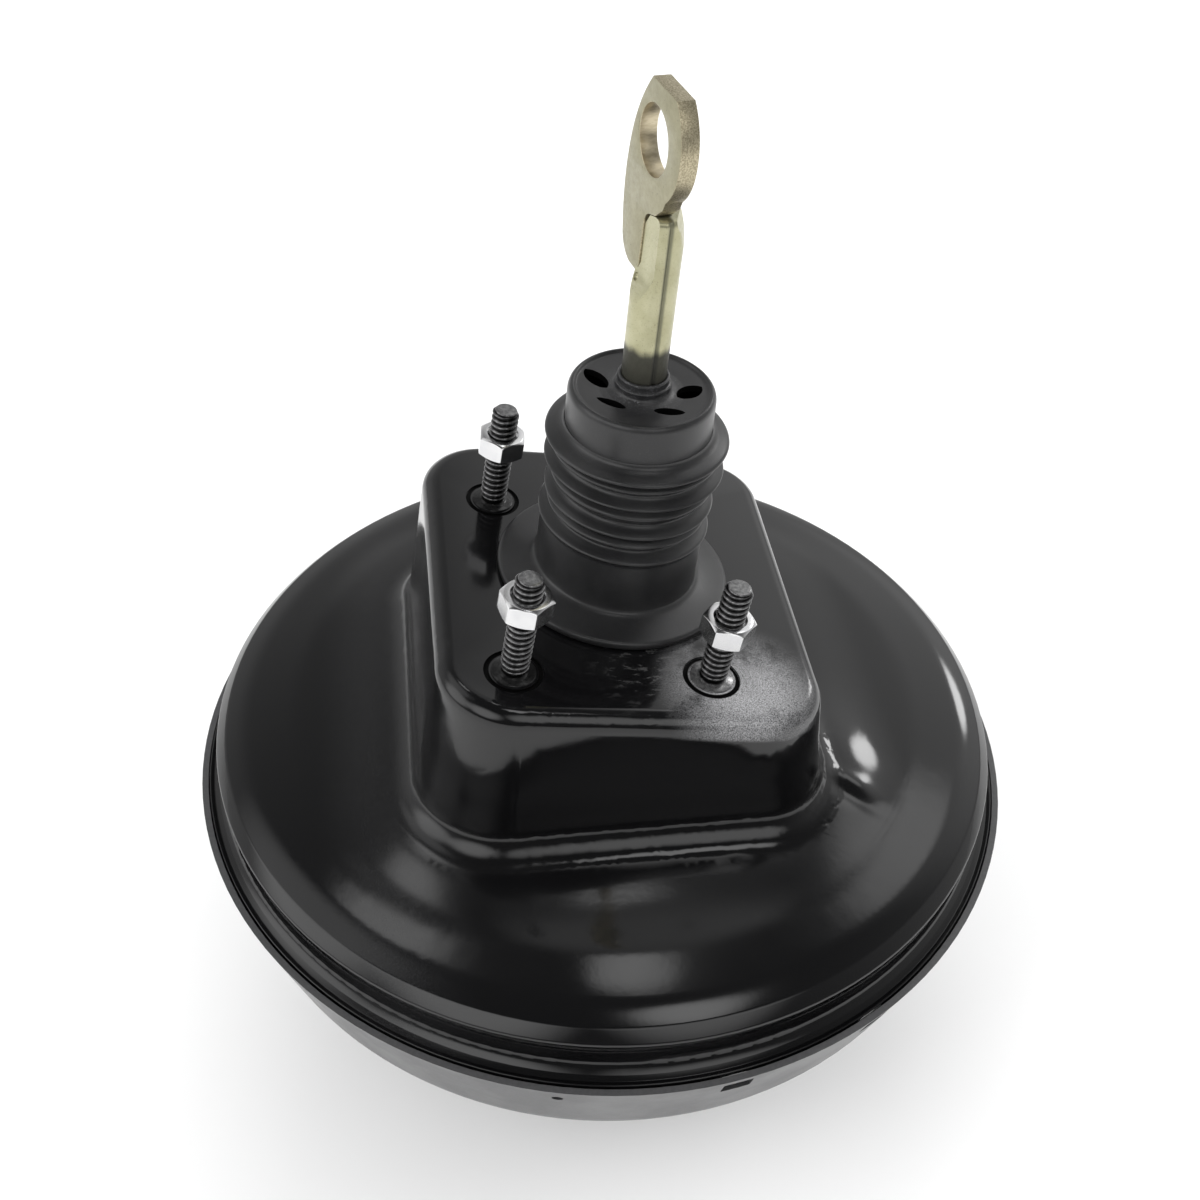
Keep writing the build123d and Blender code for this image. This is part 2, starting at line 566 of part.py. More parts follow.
# ================================================================ pushrod
with BuildPart() as pushrod:
    with BuildSketch(Plane(origin=ROD.origin, x_dir=ROD.x_dir, z_dir=ROD.x_dir.cross(ROD.z_dir))) as prof:
        with BuildLine():
            Line((0.01, -BALL_R), (0.01, ROD_TOP))
            Line((0.01, ROD_TOP), (ROD_R - 1.2, ROD_TOP))
            Line((ROD_R - 1.2, ROD_TOP), (ROD_R, ROD_TOP - 1.6))
            Line((ROD_R, ROD_TOP - 1.6), (ROD_R, 26))
            Line((ROD_R, 26), (3.4, 21))
            Line((3.4, 21), (3.4, (BALL_R ** 2 - 3.4 ** 2) ** 0.5))
            ThreePointArc((3.4, (BALL_R ** 2 - 3.4 ** 2) ** 0.5), (BALL_R, 0), (0.01, -BALL_R))
        make_face()
    revolve(axis=Axis(ROD.origin, ROD.z_dir))
    # flat on the side the eye plate is on, running out below it
    cheek_plane = Plane(origin=ROD.origin, x_dir=plate_n, z_dir=plate_u)
    cup = 1 if cheek_plane.y_dir.dot(rod_dir) > 0 else -1
    with BuildSketch(cheek_plane):
        with BuildLine():
            Polyline((2.4, cup * 155.2), (9.0, cup * 149.5), (9.0, cup * (ROD_TOP + 4)), (2.4, cup * (ROD_TOP + 4)), (2.4, cup * 155.2))
        make_face()
    extrude(amount=12, both=True, mode=Mode.SUBTRACT)
    # notch the tail of the eye plate lies in
    slot_plane = Plane(origin=ROD.origin + plate_n * PLATE_NEAR, x_dir=plate_u, z_dir=plate_n)
    up = 1 if slot_plane.y_dir.dot(rod_dir) > 0 else -1
    with BuildSketch(slot_plane):
        with BuildLine():
            Polyline((-20, up * 153.6), (-4.4, up * 153.6), (-3.6, up * 155.8), (-3.2, up * 167.6), (-0.9, up * 170.9), (2.6, up * 172.0),
                     (6.8, up * 175.4), (20, up * 175.4), (20, up * 200), (-20, up * 200), (-20, up * 153.6))
        make_face()
    extrude(amount=-PLATE_T, mode=Mode.SUBTRACT)
pushrod.part.label = "pushrod"
export_step(pushrod.part, "parts/pushrod.step")

# eye plate in the slot: (along the plate, along the rod from the ball)
with BuildPart() as pedal_eye:
    with BuildSketch(slot_plane):
        with BuildLine():
            Line((-6.8, up * 202.8), (7.3, up * 202.6))
            ThreePointArc((7.3, up * 202.6), (11.7, up * 196.6), (12.9, up * 189.4))
            ThreePointArc((12.9, up * 189.4), (11.4, up * 182.9), (7.6, up * 178.0))
            Line((7.6, up * 178.0), (6.5, up * 175.6))
            Line((6.5, up * 175.6), (2.5, up * 172.3))
            Line((2.5, up * 172.3), (-1.0, up * 171.2))
            ThreePointArc((-1.0, up * 171.2), (-2.6, up * 169.9), (-3.4, up * 167.8))
            Line((-3.4, up * 167.8), (-3.8, up * 155.8))
            Line((-3.8, up * 155.8), (-4.6, up * 153.8))
            Line((-4.6, up * 153.8), (-9.8, up * 153.8))
            ThreePointArc((-9.8, up * 153.8), (-14.0, up * 156.2), (-15.9, up * 160.6))
            ThreePointArc((-15.9, up * 160.6), (-17.2, up * 171.5), (-16.4, up * 182.4))
            ThreePointArc((-16.4, up * 182.4), (-12.9, up * 193.6), (-6.8, up * 202.8))
        make_face()
        with Locations((EYE_OFF, up * EYE_AT)):
            Circle(EYE_R, mode=Mode.SUBTRACT)
    extrude(amount=-PLATE_T)
pedal_eye.part.label = "pedal_eye"
export_step(pedal_eye.part, "parts/pedal_eye.step")

# washer on the rod that the input spring pushes on
with BuildPart() as spring_washer:
    with BuildSketch(ROD.offset(129.4 - BALL_Z)):
        Circle(9.6)
        Circle(ROD_R, mode=Mode.SUBTRACT)
    extrude(amount=1.6)
spring_washer.part.label = "spring_washer"
export_step(spring_washer.part, "parts/spring_washer.step")

# ================================================================ dust boot
# ring centres: shell-axis side at the face, rod side at the top
def boot_ring(x, z, a):
    return Plane(origin=(x, 0, z), x_dir=(cos(radians(a)), 0, -sin(radians(a))), z_dir=(sin(radians(a)), 0, cos(radians(a))))


BOOT = [((0.9, 149.5, 7.8), 23.6), ((2.2, 164.6, 7.0), 24.4), ((3.3, 173.0, 6.0), 24.0), ((4.3, 183.5, 4.5), 24.7), ((4.8, 191.6, 3.2), 25.2),
        ((4.88, 193.9, 2.8), 23.0), ((4.95, 195.8, 2.6), 20.4), ((5.42, 206.3, 2.5), 20.0), ((5.45, 206.9, 2.5), 19.2)]
BOOT_IN = [((1.0, 150.0, 7.8), 21.6), ((2.2, 164.6, 7.0), 22.4), ((3.3, 173.0, 6.0), 22.0), ((4.3, 183.5, 4.5), 22.7), ((4.75, 190.1, 3.4), 23.0),
           ((4.9, 193.8, 2.8), 18.2), ((5.25, 202.5, 2.5), 17.8)]
with BuildPart() as boot_outside:
    for h, r in ((0.6, BOOT_FLANGE_R), (2.0, BOOT_FLANGE_R - 0.2), (4.2, BOOT_TUBE_R + 0.7)):
        with BuildSketch(face_plane(h)):
            Circle(r)
    for at, r in BOOT:
        with BuildSketch(boot_ring(*at)):
            Circle(r)
    loft(ruled=True)
with BuildPart() as boot_hollow:
    with BuildSketch(face_plane(0.2)):
        Circle(21.6)
    for at, r in BOOT_IN:
        with BuildSketch(boot_ring(*at)):
            Circle(r)
    loft(ruled=True)
with BuildPart() as dust_boot:
    add(boot_outside.part)
    add(boot_hollow.part, mode=Mode.SUBTRACT)
    # hole for the rod, and the sunk ring round it
    with BuildSketch(ROD.offset(100)):
        Circle(ROD_R + 0.35)
    extrude(amount=40, mode=Mode.SUBTRACT)
    with BuildSketch(ROD.offset(120.5)):
        Circle(8.5)
    extrude(amount=10, mode=Mode.SUBTRACT)
dust_boot.part.label = "dust_boot"
export_step(dust_boot.part, "parts/dust_boot.step")

# ================================================================ vacuum check valve
with BuildPart() as check_valve_grommet:
    with BuildSketch(CHECK_SIDE):
        with BuildLine():
            Polyline((6.6, -3.0), (12.0, -3.0), (12.8, -1.8), (12.8, -0.25), (GROMMET_R - 0.05, -0.25), (GROMMET_R - 0.05, 2.35), (11.7, 2.35),
                     (11.6, 3.2), (10.4, 7.0), (6.6, 7.0), (6.6, -3.0))
        make_face()
    revolve(axis=Axis(CHECK.origin, CHECK.z_dir))
check_valve_grommet.part.label = "check_valve_grommet"
export_step(check_valve_grommet.part, "parts/check_valve_grommet.step")

# valve case: barrel through the grommet, chamber, side nipple for the hose along +X
NIPPLE_R = 5.0
NIPPLE_AT = -13.5
with BuildPart() as check_valve_case:
    with BuildSketch(CHECK_SIDE):
        with BuildLine():
            Polyline((0.01, 9.8), (6.0, 9.8), (7.3, 8.4), (7.3, 7.2), (6.5, 7.2), (6.5, -3.2), (10.5, -3.2), (10.5, -19.2), (9.7, -20.0),
                     (0.01, -20.0), (0.01, 9.8))
        make_face()
    revolve(axis=Axis(CHECK.origin, CHECK.z_dir))
    nipple = Plane(origin=CHECK.origin + CHECK.z_dir * NIPPLE_AT, x_dir=CHECK.y_dir, z_dir=(1, 0, 0))
    # collar at the nipple's root, then the nipple
    with BuildSketch(nipple.offset(8)):
        Circle(NIPPLE_R + 1.6)
    extrude(amount=4)
    with BuildSketch(nipple.offset(8)):
        Circle(NIPPLE_R)
    extrude(amount=31)
    with BuildSketch(nipple.offset(39)):
        Circle(NIPPLE_R)
    with BuildSketch(nipple.offset(43)):
        Circle(NIPPLE_R - 1.2)
    loft()
    # two grooves that leave barbs for the hose
    for x0 in (27.0, 33.5):
        with BuildSketch(nipple.offset(x0)):
            Circle(NIPPLE_R + 0.5)
            Circle(NIPPLE_R - 0.5, mode=Mode.SUBTRACT)
        extrude(amount=2.6, mode=Mode.SUBTRACT)
    # chamber and passages
    with BuildSketch(CHECK.offset(-17.8)):
        Circle(8.2)
    extrude(amount=11.8, mode=Mode.SUBTRACT)
    with BuildSketch(CHECK.offset(-8)):
        Circle(3.4)
    extrude(amount=20, mode=Mode.SUBTRACT)
    with BuildSketch(nipple):
        Circle(2.9)
    extrude(amount=50, mode=Mode.SUBTRACT)
check_valve_case.part.label = "check_valve_case"
export_step(check_valve_case.part, "parts/check_valve_case.step")

# disc that closes the passage to the shell, and the spring under it
with BuildPart() as check_valve_disc:
    with BuildSketch(CHECK.offset(-8.1)):
        Circle(6.2)
    extrude(amount=1.8)
check_valve_disc.part.label = "check_valve_disc"
export_step(check_valve_disc.part, "parts/check_valve_disc.step")

with BuildPart() as check_valve_spring:
    with BuildLine() as path:
        Helix(pitch=8.8 / 4, height=8.8, radius=4.8, center=CHECK.offset(-17.35).origin, direction=CHECK.z_dir)
    with BuildSketch(Plane(origin=path.line @ 0, z_dir=path.line % 0)):
        Circle(0.3)
    sweep(is_frenet=True)
check_valve_spring.part.label = "check_valve_spring"
export_step(check_valve_spring.part, "parts/check_valve_spring.step")
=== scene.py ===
import math
import random

import bmesh
import bpy
import numpy as np
from mathutils import Matrix, Vector, noise


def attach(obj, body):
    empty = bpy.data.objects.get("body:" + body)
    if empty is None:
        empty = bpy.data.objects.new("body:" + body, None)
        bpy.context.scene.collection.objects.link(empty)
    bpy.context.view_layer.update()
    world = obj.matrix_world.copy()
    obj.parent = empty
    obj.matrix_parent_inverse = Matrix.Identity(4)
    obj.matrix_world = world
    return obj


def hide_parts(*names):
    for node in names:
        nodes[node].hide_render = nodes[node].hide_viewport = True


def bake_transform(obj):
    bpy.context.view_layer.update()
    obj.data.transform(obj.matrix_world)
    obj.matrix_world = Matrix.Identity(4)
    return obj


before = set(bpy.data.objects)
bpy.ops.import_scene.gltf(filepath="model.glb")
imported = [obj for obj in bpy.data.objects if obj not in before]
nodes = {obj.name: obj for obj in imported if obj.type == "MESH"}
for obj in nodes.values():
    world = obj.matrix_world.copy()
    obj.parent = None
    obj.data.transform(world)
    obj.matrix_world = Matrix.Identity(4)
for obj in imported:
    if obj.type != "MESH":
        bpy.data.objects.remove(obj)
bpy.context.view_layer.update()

random.seed(11)
MM = 0.001

# ---------------------------------------------------------------- frame facts, mm
TILT = math.radians(7.86)
FACE_O = Vector((0, 0, 141.85))
FX = Vector((math.cos(TILT), 0, -math.sin(TILT)))
FY = Vector((0, 1, 0))
FN = Vector((math.sin(TILT), 0, math.cos(TILT)))


def face(x, y, h=0.0):
    return FACE_O + FX * x + FY * y + FN * h


LEAN = math.radians(2.5)
ROD_O = Vector((0, 0, 85.0))
ROD_D = Vector((math.sin(LEAN), 0, math.cos(LEAN)))
TURN = math.radians(13.0)
PLATE_N = Vector((-math.cos(TURN), -math.sin(TURN), 0))
PLATE_N = (PLATE_N - ROD_D * PLATE_N.dot(ROD_D)).normalized()
PLATE_U = PLATE_N.cross(ROD_D)
if PLATE_U.y > 0:
    PLATE_U = -PLATE_U


# ---------------------------------------------------------------- material helpers
class Mat:
    """Small wrapper: principled material with procedural layers in object space (metres)."""

    def __init__(self, name, color, rough, metal=0.0, ior=None, coat=None, coat_rough=None, spec=None):
        self.m = bpy.data.materials.new(name)
        self.m.use_nodes = True
        self.nt = self.m.node_tree
        self.b = self.nt.nodes["Principled BSDF"]
        self.b.inputs["Base Color"].default_value = (*color, 1)
        self.b.inputs["Roughness"].default_value = rough
        self.b.inputs["Metallic"].default_value = metal
        if ior is not None:
            self.b.inputs["IOR"].default_value = ior
        if coat is not None:
            self.b.inputs["Coat Weight"].default_value = coat
        if coat_rough is not None:
            self.b.inputs["Coat Roughness"].default_value = coat_rough
        if spec is not None:
            self.b.inputs["Specular IOR Level"].default_value = spec
        self.tc = self.nt.nodes.new("ShaderNodeTexCoord")
        self.height = None
        self.color = color
        self.rough = rough

    def new(self, kind, **props):
        n = self.nt.nodes.new(kind)
        for k, v in props.items():
            setattr(n, k, v)
        return n

    def link(self, a, b):
        self.nt.links.new(a, b)

    def noise(self, scale, detail=3.0, rough=0.55, stretch=None, distortion=0.0):
        n = self.new("ShaderNodeTexNoise")
        n.inputs["Scale"].default_value = scale
        n.inputs["Detail"].default_value = detail
        n.inputs["Roughness"].default_value = rough
        n.inputs["Distortion"].default_value = distortion
        if stretch is not None:
            mp = self.new("ShaderNodeMapping")
            mp.inputs["Scale"].default_value = stretch
            self.link(self.tc.outputs["Object"], mp.inputs["Vector"])
            self.link(mp.outputs["Vector"], n.inputs["Vector"])
        else:
            self.link(self.tc.outputs["Object"], n.inputs["Vector"])
        return n.outputs["Fac"]

    def voronoi(self, scale, feature="F1", out="Distance"):
        n = self.new("ShaderNodeTexVoronoi", feature=feature)
        n.inputs["Scale"].default_value = scale
        self.link(self.tc.outputs["Object"], n.inputs["Vector"])
        return n.outputs[out]

    def ramp(self, fac, lo, hi, a=0.0, b=1.0, smooth=True):
        n = self.new("ShaderNodeMapRange")
        n.interpolation_type = "SMOOTHSTEP" if smooth else "LINEAR"
        n.inputs["From Min"].default_value = lo
        n.inputs["From Max"].default_value = hi
        n.inputs["To Min"].default_value = a
        n.inputs["To Max"].default_value = b
        self.link(fac, n.inputs["Value"])
        return n.outputs["Result"]

    def math(self, op, a, b=None, c=None):
        n = self.new("ShaderNodeMath", operation=op)
        for i, v in enumerate((a, b, c)):
            if v is None:
                continue
            if isinstance(v, (int, float)):
                n.inputs[i].default_value = v
            else:
                self.link(v, n.inputs[i])
        return n.outputs[0]

    def mix(self, fac, a, b):
        n = self.new("ShaderNodeMix", data_type="RGBA")
        for sock, v in (("Factor", fac), ("A", a), ("B", b)):
            i = [s for s in n.inputs if s.name == sock and s.enabled][0]
            if isinstance(v, tuple):
                i.default_value = (*v, 1) if len(v) == 3 else v
            elif isinstance(v, (int, float)):
                i.default_value = v
            else:
                self.link(v, i)
        return [s for s in n.outputs if s.enabled][0]

    def near(self, point_mm, r0, r1):
        """1 inside r0 of a point, 0 beyond r1 (mm)."""
        n = self.new("ShaderNodeVectorMath", operation="DISTANCE")
        self.link(self.tc.outputs["Object"], n.inputs[0])
        n.inputs[1].default_value = Vector(point_mm) * MM
        return self.ramp(n.outputs["Value"], r0 * MM, r1 * MM, 1.0, 0.0)

    def along(self, origin_mm, direction):
        """Distance in metres along a direction from a point."""
        s = self.new("ShaderNodeVectorMath", operation="SUBTRACT")
        self.link(self.tc.outputs["Object"], s.inputs[0])
        s.inputs[1].default_value = Vector(origin_mm) * MM
        d = self.new("ShaderNodeVectorMath", operation="DOT_PRODUCT")
        self.link(s.outputs["Vector"], d.inputs[0])
        d.inputs[1].default_value = Vector(direction)
        return d.outputs["Value"]

    def bump(self, height, strength, distance):
        n = self.new("ShaderNodeBump")
        n.inputs["Strength"].default_value = strength
        n.inputs["Distance"].default_value = distance
        self.link(height, n.inputs["Height"])
        if self.height is not None:
            self.link(self.height, n.inputs["Normal"])
        self.height = n.outputs["Normal"]
        self.link(self.height, self.b.inputs["Normal"])

    def to_rough(self, s):
        self.link(s, self.b.inputs["Roughness"])

    def to_color(self, s):
        self.link(s, self.b.inputs["Base Color"])


def simple(name, color, rough, metal=0.0, scale=400, dark=0.7, bump=0.15, dist=0.0002, rvar=0.12, **kw):
    """Everyday finish: mottled colour, uneven roughness and fine relief."""
    k = Mat(name, color, rough, metal, **kw)
    n1 = k.noise(scale, 4)
    k.to_color(k.mix(k.ramp(n1, 0.3, 0.7), tuple(c * dark for c in color), color))
    n2 = k.noise(scale * 0.35, 3)
    k.to_rough(k.ramp(n2, 0.3, 0.7, max(rough - rvar, 0.03), min(rough + rvar, 1.0)))
    k.bump(k.noise(scale * 4, 2), bump, dist)
    return k.m


# gloss black paint on the pressed shell
def paint():
    k = Mat("black_paint", (0.0035, 0.0035, 0.0038), 0.1, 0.0, ior=1.5)
    peel = k.noise(520, 2, 0.5)
    slow = k.noise(28, 2, 0.5)
    dust = k.noise(5200, 2, 0.8)
    # dusty, speckled stretch down the tower's left side and its foot
    left = k.ramp(k.along((-58, 0, 0), (-1, 0, 0)), -0.014, 0.010, 0.0, 1.0)
    leftend = k.ramp(k.along((-58, 0, 0), (-1, 0, 0)), 0.014, 0.034, 1.0, 0.0)
    top = k.ramp(k.along((0, 0, 136), (0, 0, 1)), -0.004, 0.004, 1.0, 0.0)
    patch = k.math("MULTIPLY", k.math("MULTIPLY", k.math("MULTIPLY", left, leftend), top), 0.35)
    speck = k.math("MULTIPLY", patch, k.ramp(dust, 0.50, 0.62))
    r = k.ramp(slow, 0.3, 0.7, 0.07, 0.13)
    r = k.math("ADD", r, k.math("MULTIPLY", patch, 0.10))
    r = k.math("ADD", r, k.math("MULTIPLY", speck, 0.30))
    # dull, grainy corner of the face beyond the front right stud, and rub marks round that stud
    up = k.ramp(k.along((0, 0, 134.5), FN), 0.0, 0.0015, 0.0, 1.0)
    hazy = k.math("MULTIPLY", k.near(face(30, -47, 0), 6, 27), up)
    hazy = k.math("MULTIPLY", hazy, k.ramp(k.noise(70, 4, 0.6), 0.26, 0.52))
    rub_n = k.noise(240, 5, 0.7, stretch=(1.0, 2.2, 1.0))
    rub = k.math("MULTIPLY", k.math("MULTIPLY", k.near(face(8, -40, 0), 3, 26), up), k.ramp(rub_n, 0.53, 0.64))
    grain = k.math("MULTIPLY", hazy, k.ramp(k.noise(3400, 3, 0.8), 0.34, 0.62))
    r = k.math("ADD", r, k.math("MULTIPLY", hazy, 0.25))
    r = k.math("ADD", r, k.math("MULTIPLY", rub, 0.18))
    # painted shade: dark matte ring of low reflection round each stud, standing in for the shade in the pressed groove
    ring = None
    for x in (-33.3, 22.2):
        for y in (-43.4, 31.1):
            c0 = face(x, y, 0)
            stud_groove_shade = k.math("MULTIPLY", k.near(c0, 8.05, 8.3), k.math("SUBTRACT", 1.0, k.near(c0, 6.6, 6.9)))
            ring = stud_groove_shade if ring is None else k.math("MAXIMUM", ring, stud_groove_shade)
    r = k.math("ADD", r, k.math("MULTIPLY", ring, 0.5))
    k.link(k.math("SUBTRACT", 0.5, k.math("MULTIPLY", ring, 0.42)), k.b.inputs["Specular IOR Level"])
    k.to_rough(r)
    base = k.mix(speck, (0.0035, 0.0035, 0.0038), (0.045, 0.045, 0.047))
    base = k.mix(grain, base, (0.42, 0.42, 0.43))
    base = k.mix(k.math("MULTIPLY", rub, 0.5), base, (0.07, 0.07, 0.07))
    # the painted shade in the groove round each stud goes into the base colour
    k.to_color(k.mix(ring, base, (0.002, 0.002, 0.002)))
    k.bump(peel, 0.05, 0.00010)
    k.bump(k.noise(60, 1, 0.4), 0.06, 0.0006)
    return k.m


def band_paint():
    k = Mat("band_paint", (0.07, 0.07, 0.072), 0.36, 0.0, ior=1.6)
    k.to_rough(k.ramp(k.noise(40, 3, 0.6), 0.3, 0.7, 0.30, 0.40))
    k.to_color(k.mix(k.ramp(k.noise(900, 3, 0.6), 0.35, 0.7), (0.048, 0.048, 0.050), (0.062, 0.062, 0.064)))
    k.bump(k.noise(1500, 2, 0.6), 0.12, 0.0001)
    return k.m


def boot_rubber():
    k = Mat("boot_rubber", (0.030, 0.031, 0.033), 0.5, 0.0, ior=1.52)
    fine = k.noise(2600, 3, 0.6)
    slow = k.noise(70, 3, 0.6)
    dust = k.ramp(k.noise(4200, 2, 0.8), 0.60, 0.68)
    dusty = k.math("MULTIPLY", dust, k.math("ADD", k.math("MULTIPLY", k.near((5.5, 0, 207), 8, 13), 0.9), 0.12))
    c = k.mix(k.ramp(slow, 0.3, 0.7), (0.0095, 0.0095, 0.010), (0.014, 0.014, 0.0145))
    c = k.mix(dusty, c, (0.20, 0.20, 0.21))
    k.to_color(c)
    k.to_rough(k.ramp(slow, 0.3, 0.7, 0.31, 0.38))
    k.bump(fine, 0.25, 0.00008)
    k.bump(k.noise(180, 3, 0.5), 0.12, 0.0003)
    return k.m


def black_stud():
    k = Mat("black_stud", (0.06, 0.06, 0.061), 0.2, 0.75)
    k.to_rough(k.ramp(k.noise(500, 3, 0.6), 0.3, 0.7, 0.15, 0.25))
    dist = None
    for x in (-33.3, 22.2):
        for y in (-43.4, 31.1):
            v = k.new("ShaderNodeVectorMath", operation="SUBTRACT")
            k.link(k.tc.outputs["Object"], v.inputs[0])
            v.inputs[1].default_value = face(x, y, 0) * MM
            cr = k.new("ShaderNodeVectorMath", operation="CROSS_PRODUCT")
            k.link(v.outputs["Vector"], cr.inputs[0])
            cr.inputs[1].default_value = FN
            ln = k.new("ShaderNodeVectorMath", operation="LENGTH")
            k.link(cr.outputs["Vector"], ln.inputs[0])
            dist = ln.outputs["Value"] if dist is None else k.math("MINIMUM", dist, ln.outputs["Value"])
    high = k.along(face(0, 0, 0), FN)
    # painted highlight on the thread crests, the plain foot and the tip; painted shade in the thread roots
    crest_highlight = k.math("MAXIMUM", k.ramp(dist, 0.00345, 0.00395), k.ramp(high, 0.03295, 0.0332))
    # painted reflection on the foot disc of the front right stud only; the other feet keep a faint painted highlight
    highlight_reach = k.math("MAXIMUM", k.ramp(high, 0.0006, 0.0012), k.near(face(22.2, -43.4, 0), 9, 10))
    crest_highlight = k.math("MULTIPLY", crest_highlight, k.math("ADD", k.math("MULTIPLY", highlight_reach, 0.85), 0.15))
    # mottled grey of the painted highlight against near-black painted shade in the roots
    highlight_tone = k.mix(k.ramp(k.noise(900, 3, 0.7), 0.35, 0.65), (0.11, 0.11, 0.112), (0.22, 0.22, 0.22))
    k.to_color(k.mix(crest_highlight, (0.006, 0.006, 0.006), highlight_tone))
    k.bump(k.noise(2500, 2, 0.6), 0.08, 0.00005)
    return k.m


def nut_zinc():
    k = Mat("nut_zinc", (0.74, 0.74, 0.73), 0.26, 1.0)
    blot = k.noise(160, 3, 0.6)
    pits = k.math("MULTIPLY", k.ramp(k.noise(2600, 3, 0.7), 0.62, 0.70), k.near(face(22.2, -43.4, 17.5), 3, 8))
    c = k.mix(k.ramp(blot, 0.35, 0.65), (0.66, 0.66, 0.67), (0.74, 0.74, 0.74))
    k.to_color(k.mix(k.math("MULTIPLY", pits, 0.7), c, (0.30, 0.30, 0.30)))
    k.to_rough(k.ramp(blot, 0.3, 0.7, 0.17, 0.23))
    k.bump(k.noise(1500, 2, 0.6), 0.05, 0.00006)
    return k.m


def rod_zinc():
    k = Mat("rod_zinc", (0.60, 0.56, 0.40), 0.36, 0.85)
    s = k.along(ROD_O, ROD_D)
    grain = k.noise(900, 4, 0.65)
    c = k.mix(k.ramp(k.noise(120, 3, 0.6), 0.3, 0.7), (0.39, 0.375, 0.235), (0.47, 0.455, 0.30))
    pits = k.ramp(k.noise(3400, 3, 0.75), 0.60, 0.67)
    c = k.mix(k.math("MULTIPLY", pits, 0.8), c, (0.07, 0.065, 0.045))
    # painted shade along the seam groove
    side = k.math("ABSOLUTE", k.along(ROD_O, PLATE_N))
    seam_shade = k.math("MULTIPLY", k.ramp(side, 0.0003, 0.0011, 1.0, 0.0), k.ramp(k.along(ROD_O, PLATE_U), 0.003, 0.0045))
    c = k.mix(k.math("MULTIPLY", seam_shade, 0.75), c, (0.10, 0.10, 0.07))
    # darker stain at the foot, above the boot, with an uneven, streaky edge
    edge = k.math("ADD", s, k.math("MULTIPLY", k.noise(420, 3, 0.6, stretch=(1.0, 1.0, 0.25)), 0.0025))
    foot = k.ramp(edge, 0.1352, 0.1382, 1.0, 0.0)
    c = k.mix(k.math("MULTIPLY", foot, 0.93), c, (0.040, 0.040, 0.037))
    k.to_color(c)
    r = k.ramp(grain, 0.3, 0.7, 0.28, 0.42)
    k.to_rough(k.math("ADD", r, k.math("MULTIPLY", foot, 0.15)))
    k.bump(grain, 0.16, 0.0001)
    k.bump(pits, -0.3, 0.0001)
    return k.m


def eye_face():
    k = Mat("eye_face", (0.36, 0.34, 0.26), 0.34, 0.9)
    g = k.noise(350, 4, 0.6)
    c = k.mix(k.ramp(g, 0.3, 0.7), (0.27, 0.252, 0.162), (0.315, 0.295, 0.195))
    specks = k.ramp(k.noise(1500, 2, 0.7), 0.66, 0.72)
    k.to_color(k.mix(k.math("MULTIPLY", specks, 0.8), c, (0.12, 0.10, 0.07)))
    k.to_rough(k.ramp(k.noise(900, 3, 0.6), 0.3, 0.7, 0.28, 0.40))
    k.bump(k.noise(1800, 3, 0.6), 0.14, 0.0001)
    return k.m


def eye_edge():
    k = Mat("eye_edge", (0.52, 0.46, 0.34), 0.40, 0.9)
    g = k.noise(2600, 3, 0.7)
    c = k.mix(k.ramp(g, 0.35, 0.65), (0.30, 0.262, 0.175), (0.56, 0.50, 0.35))
    k.to_color(c)
    k.to_rough(k.ramp(g, 0.3, 0.7, 0.44, 0.34))
    k.bump(g, 0.22, 0.00012)
    return k.m


def eye_hole():
    k = Mat("eye_hole", (0.55, 0.48, 0.34), 0.34, 0.95)
    g = k.noise(600, 2, 0.5, stretch=(1.0, 1.0, 3.0))
    k.to_color(k.mix(k.ramp(g, 0.35, 0.65), (0.50, 0.435, 0.30), (0.60, 0.53, 0.38)))
    k.to_rough(k.ramp(g, 0.3, 0.7, 0.32, 0.38))
    k.bump(k.noise(1800, 2, 0.5), 0.06, 0.00005)
    return k.m


M = {
    "paint": paint(),
    "band": band_paint(),
    "boot": boot_rubber(),
    "boot_inside": simple("boot_inside", (0.0015, 0.0015, 0.0015), 0.9, spec=0.05),
    "stud": black_stud(),
    "nut": nut_zinc(),
    "rod": rod_zinc(),
    "eye_face": eye_face(),
    "eye_edge": eye_edge(),
    "eye_hole": eye_hole(),
    "plate_steel": simple("plate_steel", (0.50, 0.49, 0.45), 0.38, 0.95, scale=300),
    "zinc_bolt": simple("zinc_bolt", (0.62, 0.62, 0.60), 0.32, 1.0, scale=500),
    "spring": simple("spring_wire", (0.20, 0.20, 0.21), 0.32, 0.9, scale=800),
    "phenolic": simple("phenolic", (0.055, 0.032, 0.022), 0.5, 0.0, scale=900),
    "plastic": simple("valve_plastic", (0.022, 0.022, 0.023), 0.42, 0.0, scale=1200),
    "seal": simple("seal_rubber", (0.02, 0.02, 0.02), 0.6, 0.0, scale=900),
    "alu": simple("turned_aluminium", (0.74, 0.74, 0.75), 0.28, 1.0, scale=700),
    "foam": simple("filter_foam", (0.16, 0.16, 0.155), 0.95, 0.0, scale=1600, bump=0.9, dist=0.0006),
}
